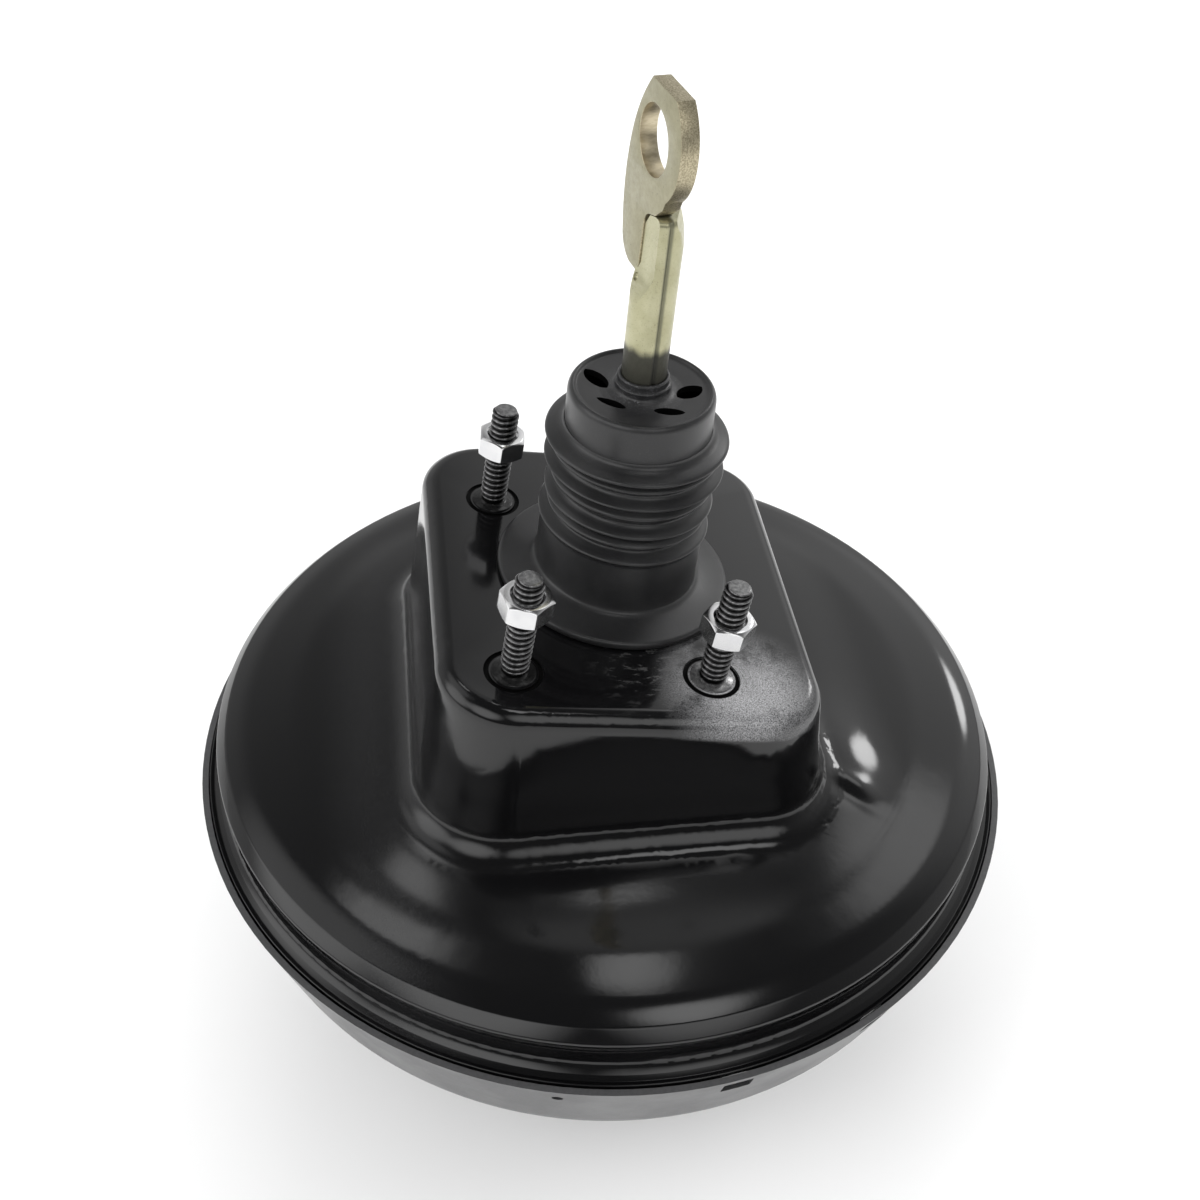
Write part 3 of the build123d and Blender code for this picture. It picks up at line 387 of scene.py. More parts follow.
CAD_FINISH = {
    "rear_shell": "paint", "front_shell": "band", "front_reinforcement": "plate_steel", "front_seal": "seal",
    "mc_studs": "zinc_bolt", "rear_reinforcement": "plate_steel", "firewall_studs": "stud", "firewall_nuts": "nut",
    "neck_bearing": "phenolic", "neck_seal": "seal", "seal_retainer": "plate_steel", "main_return_spring": "spring",
    "diaphragm": "seal", "check_valve_grommet": "seal", "check_valve_case": "plastic", "check_valve_spring": "spring",
    "valve_body": "phenolic", "diaphragm_plate": "plate_steel", "reaction_disc": "seal", "output_rod": "plate_steel",
    "output_rod_screw": "zinc_bolt", "output_rod_clip": "spring", "stop_key": "spring", "poppet": "seal",
    "poppet_retainer": "plate_steel", "poppet_spring": "spring", "filter_retainer": "plastic", "air_filter": "foam",
    "valve_plunger": "alu", "pushrod": "rod", "pedal_eye": "eye_face", "spring_washer": "plate_steel",
    "input_return_spring": "spring", "check_valve_disc": "seal", "dust_boot": "boot",
}
for name, obj in nodes.items():
    obj.data.materials.clear()
    obj.data.materials.append(M[CAD_FINISH[name]])


# ---------------------------------------------------------------- mesh helpers
def make(name, verts_mm, faces, mats, sharp=35, slots=None):
    me = bpy.data.meshes.new(name)
    me.from_pydata([tuple(Vector(v) * MM) for v in verts_mm], [], faces)
    me.validate()
    bm = bmesh.new()
    bm.from_mesh(me)
    bmesh.ops.recalc_face_normals(bm, faces=bm.faces)
    bm.to_mesh(me)
    bm.free()
    for m in mats if isinstance(mats, (list, tuple)) else [mats]:
        me.materials.append(m)
    if slots is not None:
        me.polygons.foreach_set("material_index", slots)
    me.shade_smooth()
    me.set_sharp_from_angle(angle=math.radians(sharp))
    o = bpy.data.objects.new(name, me)
    bpy.context.scene.collection.objects.link(o)
    return o


def rings(rows, closed_rows=False, cap0=None, cap1=None):
    """Vertices and faces of a tube of rings; cap0/cap1 are centre points that close the ends."""
    n = len(rows[0])
    v = [p for row in rows for p in row]
    f = []
    m = len(rows)
    for i in range(m if closed_rows else m - 1):
        a, b = i * n, ((i + 1) % m) * n
        for j in range(n):
            k = (j + 1) % n
            f.append((a + j, a + k, b + k, b + j))
    if cap0 is not None:
        c = len(v)
        v.append(cap0)
        f += [(c, (j + 1) % n, j) for j in range(n)]
    if cap1 is not None:
        c = len(v)
        v.append(cap1)
        a = (m - 1) * n
        f += [(c, a + j, a + (j + 1) % n) for j in range(n)]
    return v, f


def join(name, parts, mats, sharp=35):
    v, f = [], []
    for pv, pf in parts:
        o = len(v)
        v += pv
        f += [tuple(i + o for i in face_) for face_ in pf]
    return make(name, v, f, mats, sharp)


def apply_modifiers(o):
    bpy.context.view_layer.update()
    dg = bpy.context.evaluated_depsgraph_get()
    me = bpy.data.meshes.new_from_object(o.evaluated_get(dg))
    old = o.data
    o.modifiers.clear()
    o.data = me
    me.name = o.name
    bpy.data.meshes.remove(old)


# ---------------------------------------------------------------- rear shell
def smooth01(x, a, b):
    t = min(max((x - a) / (b - a), 0.0), 1.0)
    return t * t * (3 - 2 * t)


def off_tower(x, y):
    """Distance outside the tower's outline at its foot, mm."""
    cx, cy, hx, hy, r = -1.75, 0.0, 61.25, 64.6, 24.0
    qx, qy = abs(x - cx) - (hx - r), abs(y - cy) - (hy - r)
    return math.hypot(max(qx, 0.0), max(qy, 0.0)) + min(max(qx, qy), 0.0) - r


def bell(x, y, cx, cy, ang, sx, sy):
    a = math.radians(ang)
    u = (x - cx) * math.cos(a) + (y - cy) * math.sin(a)
    w = -(x - cx) * math.sin(a) + (y - cy) * math.cos(a)
    return math.exp(-0.5 * ((u / sx) ** 2 + (w / sy) ** 2))


def press_marks(x, y, z):
    """Height added to the dome: sheet drawn up towards the tower's foot, and folds at one corner."""
    if z < 83.0:
        return 0.0
    d = off_tower(x, y)
    h = 0.0
    if d < 34 and z < 120:
        up = 1 - smooth01(z, 97, 119)
        a = 1.5 + 2.2 * bell(x, y, 70, -38, 0, 16, 17) + 0.9 * bell(x, y, -66, -10, 0, 16, 40)
        h += a * (1 - smooth01(d, 3.0, 27.0)) * up
        h += up * (0.32 * bell(x, y, 66.5, -47.5, -38, 6.5, 2.2) - 0.22 * bell(x, y, 63.5, -51.5, -40, 6.0, 1.8) + 0.2 * bell(x, y, 70.5, -51.0, 62, 3.4, 2.0)
                   - 0.15 * bell(x, y, 68.0, -55.0, -35, 5.0, 2.0))
    return h


def refine(bm, wanted, length):
    for _ in range(9):
        es = [e for e in bm.edges if e.calc_length() > length and wanted((e.verts[0].co + e.verts[1].co) / 2)]
        if not es:
            break
        bmesh.ops.subdivide_edges(bm, edges=es, cuts=1, use_grid_fill=False)
        bmesh.ops.triangulate(bm, faces=[f for f in bm.faces if len(f.verts) > 3])


src = nodes["rear_shell"]
me = src.data.copy()
me.transform(src.matrix_world)
bm = bmesh.new()
bm.from_mesh(me)
bmesh.ops.remove_doubles(bm, verts=bm.verts, dist=2e-6)
refine(bm, lambda c: 0.0825 < c.z < 0.121 and off_tower(c.x * 1000, c.y * 1000) < 36, 0.0030)
refine(bm, lambda c: 0.086 < c.z < 0.105 and math.hypot(c.x - 0.067, c.y + 0.050) < 0.020, 0.0009)
for q in bm.verts:
    q.co.z += press_marks(q.co.x * 1000, q.co.y * 1000, q.co.z * 1000) * MM
bm.to_mesh(me)
bm.free()
me.name = "rear_shell_pressing"
me.materials.clear()
me.materials.append(M["paint"])
for p in me.polygons:
    p.material_index = 0
if me.has_custom_normals:
    me.attributes.remove(me.attributes["custom_normal"])
me.shade_smooth()
me.set_sharp_from_angle(angle=math.radians(38))
rear = bpy.data.objects.new("rear_shell_pressing", me)
bpy.context.scene.collection.objects.link(rear)
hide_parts("rear_shell")
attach(rear, "shell")


# ---------------------------------------------------------------- threaded studs
def threaded(origin, axis, z0, z1, tip, r_major=4.0, pitch=1.9, plain0=None, seg=48, side=Vector((1, 0, 0))):
    """Rings for a right-hand thread from z0 to z1 along axis, with a plain turned tip above z1."""
    axis = Vector(axis).normalized()
    u = (side - axis * side.dot(axis)).normalized()
    w = axis.cross(u)
    r_minor = r_major - 0.84

    def radius(z, a):
        ph = ((z - z0) / pitch - a / (2 * math.pi)) % 1.0
        # crest 0.16 wide, flanks, root 0.2 wide
        if ph < 0.10:
            k = 1.0
        elif ph < 0.45:
            k = 1 - (ph - 0.10) / 0.35
        elif ph < 0.62:
            k = 0.0
        elif ph < 0.94:
            k = (ph - 0.62) / 0.32
        else:
            k = 1.0
        k = k * k * (3 - 2 * k) * 0.5 + k * 0.5
        fade = min(1.0, max(0.0, (z - z0) / pitch), max(0.0, (z1 - z) / (0.35 * pitch)))
        return r_minor + (r_major - r_minor) * k * fade

    rows = []

    def ring(z, rf):
        return [origin + axis * z + (u * math.cos(a) + w * math.sin(a)) * rf(a)
                for a in (2 * math.pi * j / seg for j in range(seg))]

    if plain0 is not None:
        for z, r in plain0:
            rows.append(ring(z, lambda a, r=r: r))
    steps = int((z1 - z0) / pitch * 22)
    for i in range(steps + 1):
        z = z0 + (z1 - z0) * i / steps
        rows.append(ring(z, lambda a, z=z: radius(z, a)))
    for z, r in tip:
        rows.append(ring(z, lambda a, r=r: r))
    end = origin + axis * tip[-1][0]
    start = origin + axis * (plain0[0][0] if plain0 else z0)
    return rings(rows, cap0=start, cap1=end)


STUD_X = (-33.3, 22.2)
STUD_Y = (-43.4, 31.1)
NUT_AT = {(0, 0): 24.6, (0, 1): 21.8, (1, 0): 19.4, (1, 1): 22.0}
STUD_LEN = 33.4
NUT_H = 6.5
TURNED = {(0, 0): 44, (0, 1): 25, (1, 0): -12, (1, 1): 40}

parts = []
for (i, j) in NUT_AT:
    o = face(STUD_X[i], STUD_Y[j])
    tip = [(33.2, 3.22), (33.34, 3.12), (33.4, 2.95), (33.36, 1.6)]
    # head under the plate, neck through the hole, seat in the pressed ring, then thread
    foot = [(-7.3, 6.6), (-7.1, 7.0), (-4.5, 7.0), (-4.3, 6.6), (-4.3, 4.1), (-0.2, 4.1), (0.02, 4.2), (0.02, 6.2), (0.30, 6.2),
            (0.42, 6.0), (0.45, 4.4), (0.7, 3.7), (1.0, 3.42)]
    parts.append(threaded(o, FN, 1.0, 33.15, tip, plain0=foot, side=FX))
studs = join("firewall_stud_set", parts, M["stud"], sharp=50)
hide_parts("firewall_studs")
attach(studs, "shell")


def nut(centre, axis, turn, af=13.0, h=6.5, side=Vector((1, 0, 0)), bore=3.98):
    axis = Vector(axis).normalized()
    u0 = (side - axis * side.dot(axis)).normalized()
    w0 = axis.cross(u0)
    seg = 120
    ca = math.radians(turn)
    rows = [[] for _ in range(12)]
    for j in range(seg):
        a = 2 * math.pi * j / seg
        d = u0 * math.cos(a + ca) + w0 * math.sin(a + ca)
        am = (a % (math.pi / 3)) - math.pi / 6
        rh = af / 2 / math.cos(am)
        # rounded arrises
        rh = min(rh, af / 2 / math.cos(math.pi / 6) * 0.990)
        rf = af / 2 * 0.955
        drop = max(0.0, rh - rf) * math.tan(math.radians(30))
        prof = [(bore, -h / 2 + 0.75), (bore + 0.75, -h / 2), (rf - 0.1, -h / 2), (rf + 0.02, -h / 2 + 0.05), (rh - 0.12, -h / 2 + drop - 0.03),
                (rh, -h / 2 + drop + 0.12), (rh, h / 2 - drop - 0.12), (rh - 0.12, h / 2 - drop + 0.03), (rf + 0.02, h / 2 - 0.05), (rf - 0.1, h / 2),
                (bore + 0.75, h / 2), (bore, h / 2 - 0.75)]
        for k, (r, z) in enumerate(prof):
            rows[k].append(centre + d * r + axis * z)
    return rings(rows, closed_rows=True)


parts = [nut(face(STUD_X[i], STUD_Y[j], z), FN, TURNED[(i, j)], side=FX) for (i, j), z in NUT_AT.items()]
nuts = join("firewall_nut_set", parts, M["nut"], sharp=24)
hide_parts("firewall_nuts")
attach(nuts, "shell")

parts = []
for sx in (-1, 1):
    o = Vector((42.0 * sx, 0, 0))
    tip = [(26.2, 3.35), (27.3, 3.25), (27.8, 2.9), (28.0, 2.2)]
    foot = [(-8.8, 6.4), (-8.5, 7.0), (-6.1, 7.0), (-5.8, 6.8), (-5.8, 4.0), (4.0, 4.0), (4.6, 3.42)]
    parts.append(threaded(o, (0, 0, -1), 4.6, 26.1, tip, plain0=foot))
mc = join("mc_stud_set", parts, M["zinc_bolt"], sharp=50)
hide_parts("mc_studs")
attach(mc, "shell")


# ---------------------------------------------------------------- dust boot
AXIS = [(142.0, 0.05, 7.86), (149.5, 0.95, 7.8), (164.6, 2.2, 7.0), (173.0, 3.3, 6.0), (183.5, 4.3, 5.0), (193.0, 4.85, 3.2), (198.0, 5.05, 2.7), (210.5, 5.6, 2.5)]
AZ = np.array([a[0] for a in AXIS])


def boot_ring(z, r, seg=160, dz=0.0, wob=0.0):
    x = float(np.interp(z, AZ, [a[1] for a in AXIS]))
    t = math.radians(float(np.interp(z, AZ, [a[2] for a in AXIS])))
    e1 = Vector((math.cos(t), 0, -math.sin(t)))
    e3 = Vector((math.sin(t), 0, math.cos(t)))
    out = []
    for j in range(seg):
        a = 2 * math.pi * j / seg
        rr = r
        if wob:
            rr += wob * noise.noise(Vector((math.cos(a) * 1.7, math.sin(a) * 1.7, z * 0.13)))
        out.append(Vector((x, 0, z)) + e3 * dz + (e1 * math.cos(a) + FY * math.sin(a)) * rr)
    return out


def face_ring(h, r, seg=160):
    return [face(r * math.cos(2 * math.pi * j / seg), r * math.sin(2 * math.pi * j / seg), h) for j in range(seg)]


def smooth_profile(points, step=0.35):
    """Catmull-Rom through (z, r) points, resampled."""
    p = [np.array(q, float) for q in points]
    p = [2 * p[0] - p[1]] + p + [2 * p[-1] - p[-2]]
    out = []
    for k in range(1, len(p) - 2):
        a, b, c, d = p[k - 1], p[k], p[k + 1], p[k + 2]
        n = max(2, int(np.linalg.norm(c - b) / step))
        for i in range(n):
            t = i / n
            out.append(0.5 * ((2 * b) + (c - a) * t + (2 * a - 5 * b + 4 * c - d) * t * t + (3 * b - a - 3 * c + d) * t ** 3))
    out.append(p[-2])
    return out


# flange and tube: rings parallel to the firewall face, then the bellows
flange = smooth_profile([(0.35, 33.7), (0.6, 34.15), (1.5, 34.3), (2.2, 34.15), (2.65, 33.6), (2.9, 32.4), (3.3, 30.0), (3.9, 27.0), (4.5, 24.9), (5.3, 23.95),
                         (6.6, 23.68)], 0.3)
bellows = smooth_profile([(150.5, 23.62), (156, 23.6), (161.0, 23.5), (163.2, 23.55), (164.2, 24.25), (164.75, 24.5), (165.3, 24.2), (166.1, 22.4), (167.1, 21.0),
                          (168.2, 21.9), (169.3, 22.7), (170.4, 21.6), (171.4, 20.4), (172.3, 22.3), (173.0, 23.75), (173.6, 23.85), (174.3, 22.9),
                          (175.2, 21.3), (176.2, 20.7), (177.6, 22.1), (179.2, 22.9), (180.5, 21.5), (181.6, 20.5), (182.7, 22.9), (183.4, 24.75),
                          (184.0, 24.9), (184.7, 23.7), (185.6, 22.1), (186.6, 21.7), (187.7, 23.0), (188.6, 23.4), (189.6, 22.2), (190.4, 21.6),
                          (190.9, 23.6), (191.4, 24.9), (192.0, 25.3), (192.6, 24.9), (193.2, 23.4), (193.7, 21.9), (194.3, 20.9), (195.0, 20.4), (195.7, 20.27)], 0.3)
rows = [face_ring(0.32, 22.2), face_ring(0.32, 28.0)] + [face_ring(float(h), float(r)) for h, r in flange]
rows += [boot_ring(float(z), float(r), wob=0.10) for z, r in bellows]
# inside wall, back down
inside = [(195.5, 19.9), (193.9, 19.9), (192.9, 21.4), (192.0, 23.6), (191.1, 20.6), (190.0, 20.3), (188.0, 21.4), (186.4, 20.4), (184.0, 22.9), (181.4, 19.2), (178.9, 21.0), (176.0, 19.5),
          (173.4, 22.0), (171.3, 19.2), (169.2, 20.9), (167.0, 19.6), (164.7, 22.6), (162.0, 21.9), (155.0, 21.8), (150.0, 21.8)]
rows += [boot_ring(z, r) for z, r in inside]
rows += [face_ring(4.5, 21.9), face_ring(2.0, 22.0)]
v, f = rings(rows, closed_rows=True)
boot = make("boot_bellows", v, f, M["boot"], sharp=60)
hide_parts("dust_boot")

# cap: wall, rounded rim, sunk top with vents, boss with lip round the rod
CAP_Z = 206.0
C_T = math.radians(2.5)
CE1 = Vector((math.cos(C_T), 0, -math.sin(C_T)))
CE3 = Vector((math.sin(C_T), 0, math.cos(C_T)))
cap_c = ROD_O + ROD_D * 121.0          # on the rod's axis, z about 209


def cap_ring(dz, r, seg=160, off=1.0):
    # off 1: boot's own centre line; off 0: rod's centre line
    base = Vector((float(np.interp(CAP_Z + dz, AZ, [a[1] for a in AXIS])), 0, CAP_Z + dz))
    rod = ROD_O + ROD_D * (121.0 + dz)
    c = rod.lerp(base, off)
    return [c + (CE1 * math.cos(2 * math.pi * j / seg) + FY * math.sin(2 * math.pi * j / seg)) * r for j in range(seg)]


outer = smooth_profile([(-15.5, 20.15), (-8.0, 20.15), (-2.4, 20.05), (-0.7, 19.9), (0.25, 19.4), (0.62, 18.8), (0.45, 18.3), (0.0, 17.9)], 0.3)
rows = [cap_ring(-15.5, 18.4)] + [cap_ring(float(z), float(r)) for z, r in outer]
rows += [cap_ring(-0.12, 17.6), cap_ring(-0.15, 16.9)]
rows += [cap_ring(-0.15, 12.0, off=0.5)]
boss = smooth_profile([(-0.15, 11.5), (0.0, 9.6), (0.35, 8.4), (0.9, 7.6), (1.5, 7.35), (2.3, 7.45), (2.7, 7.55), (3.0, 7.3), (3.1, 7.0), (3.9, 6.95), (4.6, 7.0),
                       (5.0, 6.8), (5.1, 6.4), (5.0, 6.15)], 0.22)
rows += [cap_ring(float(z), float(r), off=0.0) for z, r in boss]
rows += [cap_ring(-2.0, 6.15, off=0.0), cap_ring(-2.0, 8.5, off=0.0), cap_ring(-2.0, 17.4), cap_ring(-4.0, 18.2)]
v, f = rings(rows, closed_rows=True)
cap = make("boot_cap", v, f, M["boot"], sharp=50)


def leaf(centre, ang, length, width, z0, z1, n=14):
    """Closed prism with a leaf outline, long way along ang."""
    t = Vector((math.cos(ang), math.sin(ang), 0))
    r = Vector((math.sin(ang), -math.cos(ang), 0))
    pts = []
    for k in range(2 * n):
        s = k / n
        if s <= 1:
            x, y = -1 + 2 * s, (1 - (2 * s - 1) ** 2) ** 0.72
        else:
            x, y = 1 - 2 * (s - 1), -(max(0.0, 1 - (2 * (s - 1) - 1) ** 2) ** 0.72)
        pts.append((x * length / 2, y * width / 2))
    vs = []
    for z in (z0, z1):
        for x, y in pts:
            q = t * x + r * y
            vs.append(centre + CE1 * (q.x) + FY * (q.y) + CE3 * z)
    m = len(pts)
    fs = [(k, (k + 1) % m, m + (k + 1) % m, m + k) for k in range(m)]
    fs.append(tuple(range(m))[::-1])
    fs.append(tuple(range(m, 2 * m)))
    return vs, fs


holes = []
top_c = Vector((float(np.interp(CAP_Z, AZ, [a[1] for a in AXIS])), 0, CAP_Z))
for a, rr, turn, length, width in ((156.5, 12.9, -62.5, 10.4, 5.0), (214.5, 11.3, -35.5, 8.8, 2.7), (297.5, 12.0, -7.5, 8.4, 3.2), (-7.5, 12.6, 32.5, 9.0, 5.4),
                                  (82.5, 12.3, -7.5, 9.0, 4.0)):
    ang = math.radians(a)
    c = top_c + (CE1 * math.cos(ang) + FY * math.sin(ang)) * rr
    holes.append(leaf(c, math.radians(turn), length, width, -5.0, 2.5))
cutter = join("boot_vent_cutter", holes, M["boot"])
bo = cap.modifiers.new("vents", "BOOLEAN")
bo.object = cutter
bo.operation = "DIFFERENCE"
bo.solver = "EXACT"
apply_modifiers(cap)
cap.data.set_sharp_from_angle(angle=math.radians(40))
bpy.data.objects.remove(cutter)
# unlit inside of the cap and bellows, seen through the vents
for ob in (cap, boot):
    ob.data.materials.append(M["boot_inside"])
    for p in ob.data.polygons:
        q = p.center / MM - ROD_O
        out = q - ROD_D * q.dot(ROD_D)
        if ob is cap:
            p.material_index = 1 if out.length < 18.4 and q.dot(ROD_D) < 120.4 else 0
        else:
            p.material_index = 1 if out.length < 23.5 and q.z > 60 and p.normal.dot(out.normalized()) < -0.3 else 0
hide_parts("dust_boot")

# ---------------------------------------------------------------- pushrod


def rod_point(s, a, r):
    return ROD_O + ROD_D * s + (PLATE_U * math.cos(a) + PLATE_N * math.sin(a)) * r


SEG = 128
prof = [(-5.0, 0.3)] + [(-5 * math.cos(math.radians(t)), 5 * math.sin(math.radians(t))) for t in range(8, 137, 8)]
prof += [(3.7, 3.4), (5.0, 3.4), (21.0, 3.4), (23.5, 4.6), (26.0, 6.0), (26.6, 6.05)]
prof += [(s, 6.0) for s in range(30, 171, 2)] + [(170.6, 6.0), (171.3, 5.8), (171.8, 5.4), (172.0, 4.8)]
SEAM = math.radians(0)           # weld line down the rod
rows = []
for s, r in prof:
    row = []
    for j in range(SEG):
        a = 2 * math.pi * j / SEG
        rr = r
        if s > 110 and r > 5.5:
            d = ((a - SEAM + math.pi) % (2 * math.pi) - math.pi) * r
            rr += 0.14 * math.exp(-((d - 1.1) / 0.55) ** 2) - 0.42 * math.exp(-((d + 0.05) / 0.5) ** 2)
            rr += 0.05 * noise.noise(Vector((math.cos(a) * 2, math.sin(a) * 2, s * 0.12)))
        row.append(rod_point(s, a, rr))
    rows.append(row)
v, f = rings(rows, cap0=rod_point(-5.0, 0, 0), cap1=rod_point(172.0, 0, 0))
rod = make("pushrod_body", v, f, M["rod"], sharp=45)


def prism(name, outline2, place, a, b):
    """Closed prism between a and b over an outline."""
    m = len(outline2)
    vs = [place(x, y, t) for t in (a, b) for x, y in outline2]
    fs = [tuple(range(m)), tuple(range(m, 2 * m))[::-1]] + [(k, m + k, m + (k + 1) % m, (k + 1) % m) for k in range(m)]
    return make(name, vs, fs, M["rod"])


# notch the plate's tail lies in, and the flat beside it
notch = prism("rod_notch_cutter", [(-12, 153.6), (-4.4, 153.6), (-3.6, 155.8), (-3.2, 167.6), (-0.9, 170.9), (2.6, 172.0), (6.8, 175.4), (12, 175.4), (12, 180), (-12, 180)],
              lambda u_, s_, n_: ROD_O + ROD_D * s_ + PLATE_U * u_ + PLATE_N * n_, -1.27, 3.37)
flat = prism("rod_flat_cutter", [(2.9, 157.0), (3.6, 154.6), (4.9, 151.0), (7.0, 146.0), (9.0, 146.0), (9.0, 180), (2.9, 180)],
             lambda n_, s_, u_: ROD_O + ROD_D * s_ + PLATE_U * u_ + PLATE_N * n_, -12, 12)
# corner taken off the rod's top on the far side from the tail
corner = prism("rod_corner_cutter", [(6.3, 162.0), (5.2, 168.0), (3.3, 173.5), (9.0, 173.5), (9.0, 162.0)],
               lambda u_, s_, n_: ROD_O + ROD_D * s_ + PLATE_U * (u_ * 0.5 + n_ * 0.87) + PLATE_N * (n_ * 0.5 - u_ * 0.87), -12, 12)
bpy.ops.mesh.primitive_uv_sphere_add(segments=24, ring_count=16, radius=0.0011, location=(ROD_O + ROD_D * 153.4 + PLATE_U * -2.9 + PLATE_N * 4.2) * MM)
dimple = bpy.context.active_object
for cutter in (notch, flat, corner, dimple):
    bo = rod.modifiers.new("cut", "BOOLEAN")
    bo.object = cutter
    bo.solver = "EXACT"
    apply_modifiers(rod)
    bpy.data.objects.remove(cutter)
bv = rod.modifiers.new("bevel", "BEVEL")
bv.width = 0.00028
bv.segments = 2
bv.limit_method = "ANGLE"
bv.angle_limit = math.radians(40)
apply_modifiers(rod)
rod.data.shade_smooth()
rod.data.set_sharp_from_angle(angle=math.radians(40))
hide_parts("pushrod")
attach(rod, "pushrod")

# ---------------------------------------------------------------- pedal eye


def arc3(a, b, c, n=14):
    """Points on the arc from a through b to c, without the last."""
    ax, ay = a
    bx, by = b
    cx, cy = c
    d = 2 * (ax * (by - cy) + bx * (cy - ay) + cx * (ay - by))
    ux = ((ax * ax + ay * ay) * (by - cy) + (bx * bx + by * by) * (cy - ay) + (cx * cx + cy * cy) * (ay - by)) / d
    uy = ((ax * ax + ay * ay) * (cx - bx) + (bx * bx + by * by) * (ax - cx) + (cx * cx + cy * cy) * (bx - ax)) / d
    r = math.hypot(ax - ux, ay - uy)
    t0, t1, t2 = (math.atan2(q[1] - uy, q[0] - ux) for q in (a, b, c))
    ccw = ((t1 - t0) % (2 * math.pi)) < ((t2 - t0) % (2 * math.pi))
    span = (t2 - t0) % (2 * math.pi) if ccw else -((t0 - t2) % (2 * math.pi))
    return [(ux + r * math.cos(t0 + span * k / n), uy + r * math.sin(t0 + span * k / n)) for k in range(n)]


outline = [(-6.8, 202.8)]
outline += arc3((7.3, 202.6), (11.7, 196.6), (12.9, 189.4)) + arc3((12.9, 189.4), (11.4, 182.9), (7.6, 178.0)) + [(7.6, 178.0), (6.5, 175.6), (2.5, 172.3)]
outline += arc3((-1.0, 171.2), (-2.6, 169.9), (-3.4, 167.8), 8) + [(-3.4, 167.8), (-3.6, 161.8), (-3.8, 155.8), (-4.6, 153.8)]
outline += arc3((-9.8, 153.8), (-14.0, 156.2), (-15.9, 160.6), 10) + arc3((-15.9, 160.6), (-17.2, 171.5), (-16.4, 182.4)) + arc3((-16.4, 182.4), (-12.9, 193.6), (-6.8, 202.8), 20)[0:]
outline = outline[:]
hole = [(-2.8 + 8.5 * math.cos(2 * math.pi * k / 96), 189 + 8.5 * math.sin(2 * math.pi * k / 96)) for k in range(96)]


def plate(name, outline, hole, n_near, thick, mats, bevel):
    cu = bpy.data.curves.new(name, "CURVE")
    cu.dimensions = "2D"
    cu.fill_mode = "BOTH"
    for pts in (outline, hole):
        sp = cu.splines.new("POLY")
        sp.points.add(len(pts) - 1)
        for q, (x, y) in zip(sp.points, pts):
            q.co = (x * MM, (y - 180) * MM, 0, 1)
        sp.use_cyclic_u = True
    cu.extrude = (thick / 2 - bevel) * MM
    cu.bevel_depth = bevel * MM
    cu.bevel_resolution = 2
    cu.offset = -bevel * MM
    o = bpy.data.objects.new(name, cu)
    bpy.context.scene.collection.objects.link(o)
    rot = Matrix((PLATE_U, ROD_D, PLATE_U.cross(ROD_D))).transposed()
    c = (ROD_O + ROD_D * 180 + PLATE_N * (n_near - thick / 2)) * MM
    o.matrix_world = Matrix.Translation(c) @ rot.to_4x4()
    bpy.context.view_layer.update()
    me = bpy.data.meshes.new_from_object(o.evaluated_get(bpy.context.evaluated_depsgraph_get()))
    me.transform(o.matrix_world)
    bpy.data.objects.remove(o)
    bm = bmesh.new()
    bm.from_mesh(me)
    bmesh.ops.remove_doubles(bm, verts=bm.verts, dist=1e-6)
    bmesh.ops.dissolve_degenerate(bm, edges=bm.edges, dist=1e-7)
    bmesh.ops.recalc_face_normals(bm, faces=bm.faces)
    bm.to_mesh(me)
    bm.free()
    me.name = name
    me.materials.clear()
    for m in mats:
        me.materials.append(m)
    for p in me.polygons:
        q = p.center / MM - ROD_O
        in_hole = math.hypot(q.dot(PLATE_U) + 2.8, q.dot(ROD_D) - 189) < 8.9
        p.material_index = 0 if abs(p.normal.dot(PLATE_N)) > 0.8 else 2 if in_hole else 1
    me.shade_smooth()
    me.set_sharp_from_angle(angle=math.radians(28))
    ob = bpy.data.objects.new(name, me)
    bpy.context.scene.collection.objects.link(ob)
    return ob


eye = plate("pedal_eye_plate", outline, hole, 3.35, 4.6, [M["eye_face"], M["eye_edge"], M["eye_hole"]], 0.18)
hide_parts("pedal_eye")
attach(eye, "pushrod")

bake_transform(boot)
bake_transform(cap)


def flex(name):
    """Copy of a spring's mesh, standing in for the hidden node."""
    src = nodes[name]
    me = src.data.copy()
    me.transform(src.matrix_world)
    me.name = name + "_coils"
    ob = bpy.data.objects.new(name + "_coils", me)
    bpy.context.scene.collection.objects.link(ob)
    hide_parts(name)
    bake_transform(ob)


flex("main_return_spring")
flex("input_return_spring")
flex("check_valve_spring")

# ---------------------------------------------------------------- stage, light, camera


def stage_mat(name, color, rough):
    k = Mat(name, color, rough)
    k.bump(k.noise(60, 3), 0.02, 0.0005)
    return k.m


bpy.ops.mesh.primitive_plane_add(size=12, location=(0, 0, -0.0288))
floor = bpy.context.active_object
floor.name = "floor"
floor.data.materials.append(stage_mat("floor_white", (0.88, 0.88, 0.88), 0.9))


def area(name, loc, target, size, power, size_y=None, color=(1, 1, 1)):
    li = bpy.data.lights.new(name, "AREA")
    li.energy = power
    li.color = color
    li.shape = "RECTANGLE" if size_y else "SQUARE"
    li.size = size
    if size_y:
        li.size_y = size_y
    o = bpy.data.objects.new(name, li)
    bpy.context.scene.collection.objects.link(o)
    o.location = loc
    o.rotation_euler = (Vector(target) - Vector(loc)).to_track_quat("-Z", "Y").to_euler()
    return o


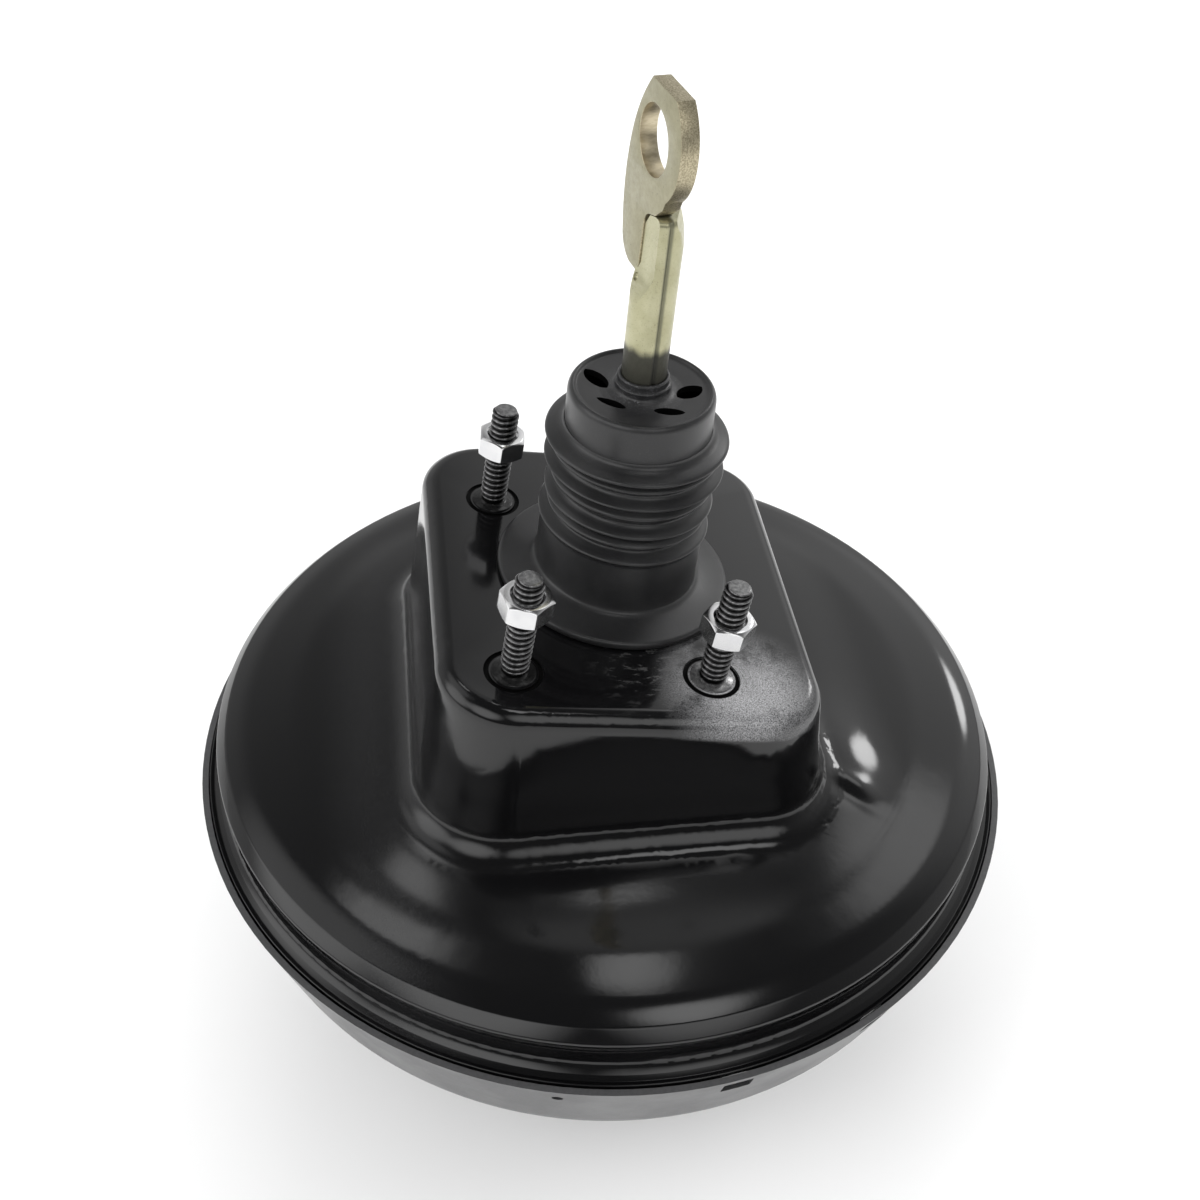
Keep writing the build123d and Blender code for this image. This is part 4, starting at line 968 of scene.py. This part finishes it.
for li in (
    area("key_left", (-1.1, -0.5, 1.1), (0, 0, 0.12), 0.8, 9, 0.9),
    area("right", (1.3, 0.0, 0.9), (0, 0, 0.12), 0.7, 6, 0.7),
    area("back", (0.1, 1.3, 1.0), (0, 0, 0.12), 0.9, 6, 0.6),
):
    li.visible_glossy = False

# studio surround: white to the camera, even on matte surfaces, and soft feathered boxes in the gloss
world = bpy.data.worlds.new("studio")
bpy.context.scene.world = world
world.use_nodes = True
nt = world.node_tree
bg = nt.nodes["Background"]
wtc = nt.nodes.new("ShaderNodeTexCoord")


def wmath(op, a, b=None):
    n = nt.nodes.new("ShaderNodeMath")
    n.operation = op
    for i, v in enumerate((a, b)):
        if v is None:
            continue
        if isinstance(v, (int, float)):
            n.inputs[i].default_value = v
        else:
            nt.links.new(v, n.inputs[i])
    return n.outputs[0]


def wramp(v, lo, hi, a, b):
    n = nt.nodes.new("ShaderNodeMapRange")
    n.interpolation_type = "SMOOTHSTEP"
    for k, x in (("From Min", lo), ("From Max", hi), ("To Min", a), ("To Max", b)):
        n.inputs[k].default_value = x
    nt.links.new(v, n.inputs["Value"])
    return n.outputs["Result"]


def softbox(az, el, r0, r1, power):
    """Round feathered light in the surround; az from +Y towards +X, el above the horizon, degrees."""
    az, el = math.radians(az), math.radians(el)
    d = nt.nodes.new("ShaderNodeVectorMath")
    d.operation = "DOT_PRODUCT"
    nt.links.new(wtc.outputs["Generated"], d.inputs[0])
    d.inputs[1].default_value = (math.sin(az) * math.cos(el), math.cos(az) * math.cos(el), math.sin(el))
    return wramp(d.outputs["Value"], math.cos(math.radians(r1)), math.cos(math.radians(r0)), 0.0, power)


sep = nt.nodes.new("ShaderNodeSeparateXYZ")
nt.links.new(wtc.outputs["Generated"], sep.inputs[0])
glow = wmath("MULTIPLY", wramp(sep.outputs["Z"], 0.30, 1.0, 0.60, 0.08), wramp(sep.outputs["Y"], -1.0, 0.25, 0.14, 1.0))
for box in ((20, 71, 1.2, 4.2, 2.6), (48, 28, 3, 5.5, 9.0), (47, 51.5, 3, 9, 1.4), (45, 33, 8, 32, 0.6), (-25, 64, 2, 6, 2.4), (119, 77, 4, 9, 3.0),
            (14, 57, 4, 15, 0.45), (-70, 52, 6, 22, 0.8), (-95, 25, 10, 26, 1.6), (-140, 35, 8, 26, 2.0), (160, 40, 8, 24, 1.6)):
    glow = wmath("ADD", glow, softbox(*box))
lp = nt.nodes.new("ShaderNodeLightPath")
even = wmath("MAXIMUM", lp.outputs["Is Camera Ray"], lp.outputs["Is Diffuse Ray"])
mixv = nt.nodes.new("ShaderNodeMix")
mixv.data_type = "FLOAT"
nt.links.new(even, [s for s in mixv.inputs if s.name == "Factor" and s.enabled][0])
nt.links.new(glow, [s for s in mixv.inputs if s.name == "A" and s.enabled][0])
[s for s in mixv.inputs if s.name == "B" and s.enabled][0].default_value = 1.0
nt.links.new([s for s in mixv.outputs if s.enabled][0], bg.inputs["Strength"])
bg.inputs["Color"].default_value = (1, 1, 1, 1)

cam_d = bpy.data.cameras.new("camera")
cam = bpy.data.objects.new("camera", cam_d)
bpy.context.scene.collection.objects.link(cam)
right = Vector((0.99065818, -0.13116465, 0.0373122))
up = Vector((0.06115452, 0.67186553, 0.73814418))
fwd = Vector((0.1218872, 0.72896677, -0.67361039))
rot = Matrix((right, up, -fwd)).transposed().to_4x4()
cam.matrix_world = Matrix.Translation(Vector((-54.97679, -309.79756, 416.67608)) * MM) @ rot
cam_d.sensor_width = 36
cam_d.lens = 1410.17966 / 1200 * 36
cam_d.clip_start = 0.01
cam_d.clip_end = 60
bpy.context.scene.camera = cam

bpy.context.scene.view_settings.view_transform = "Standard"
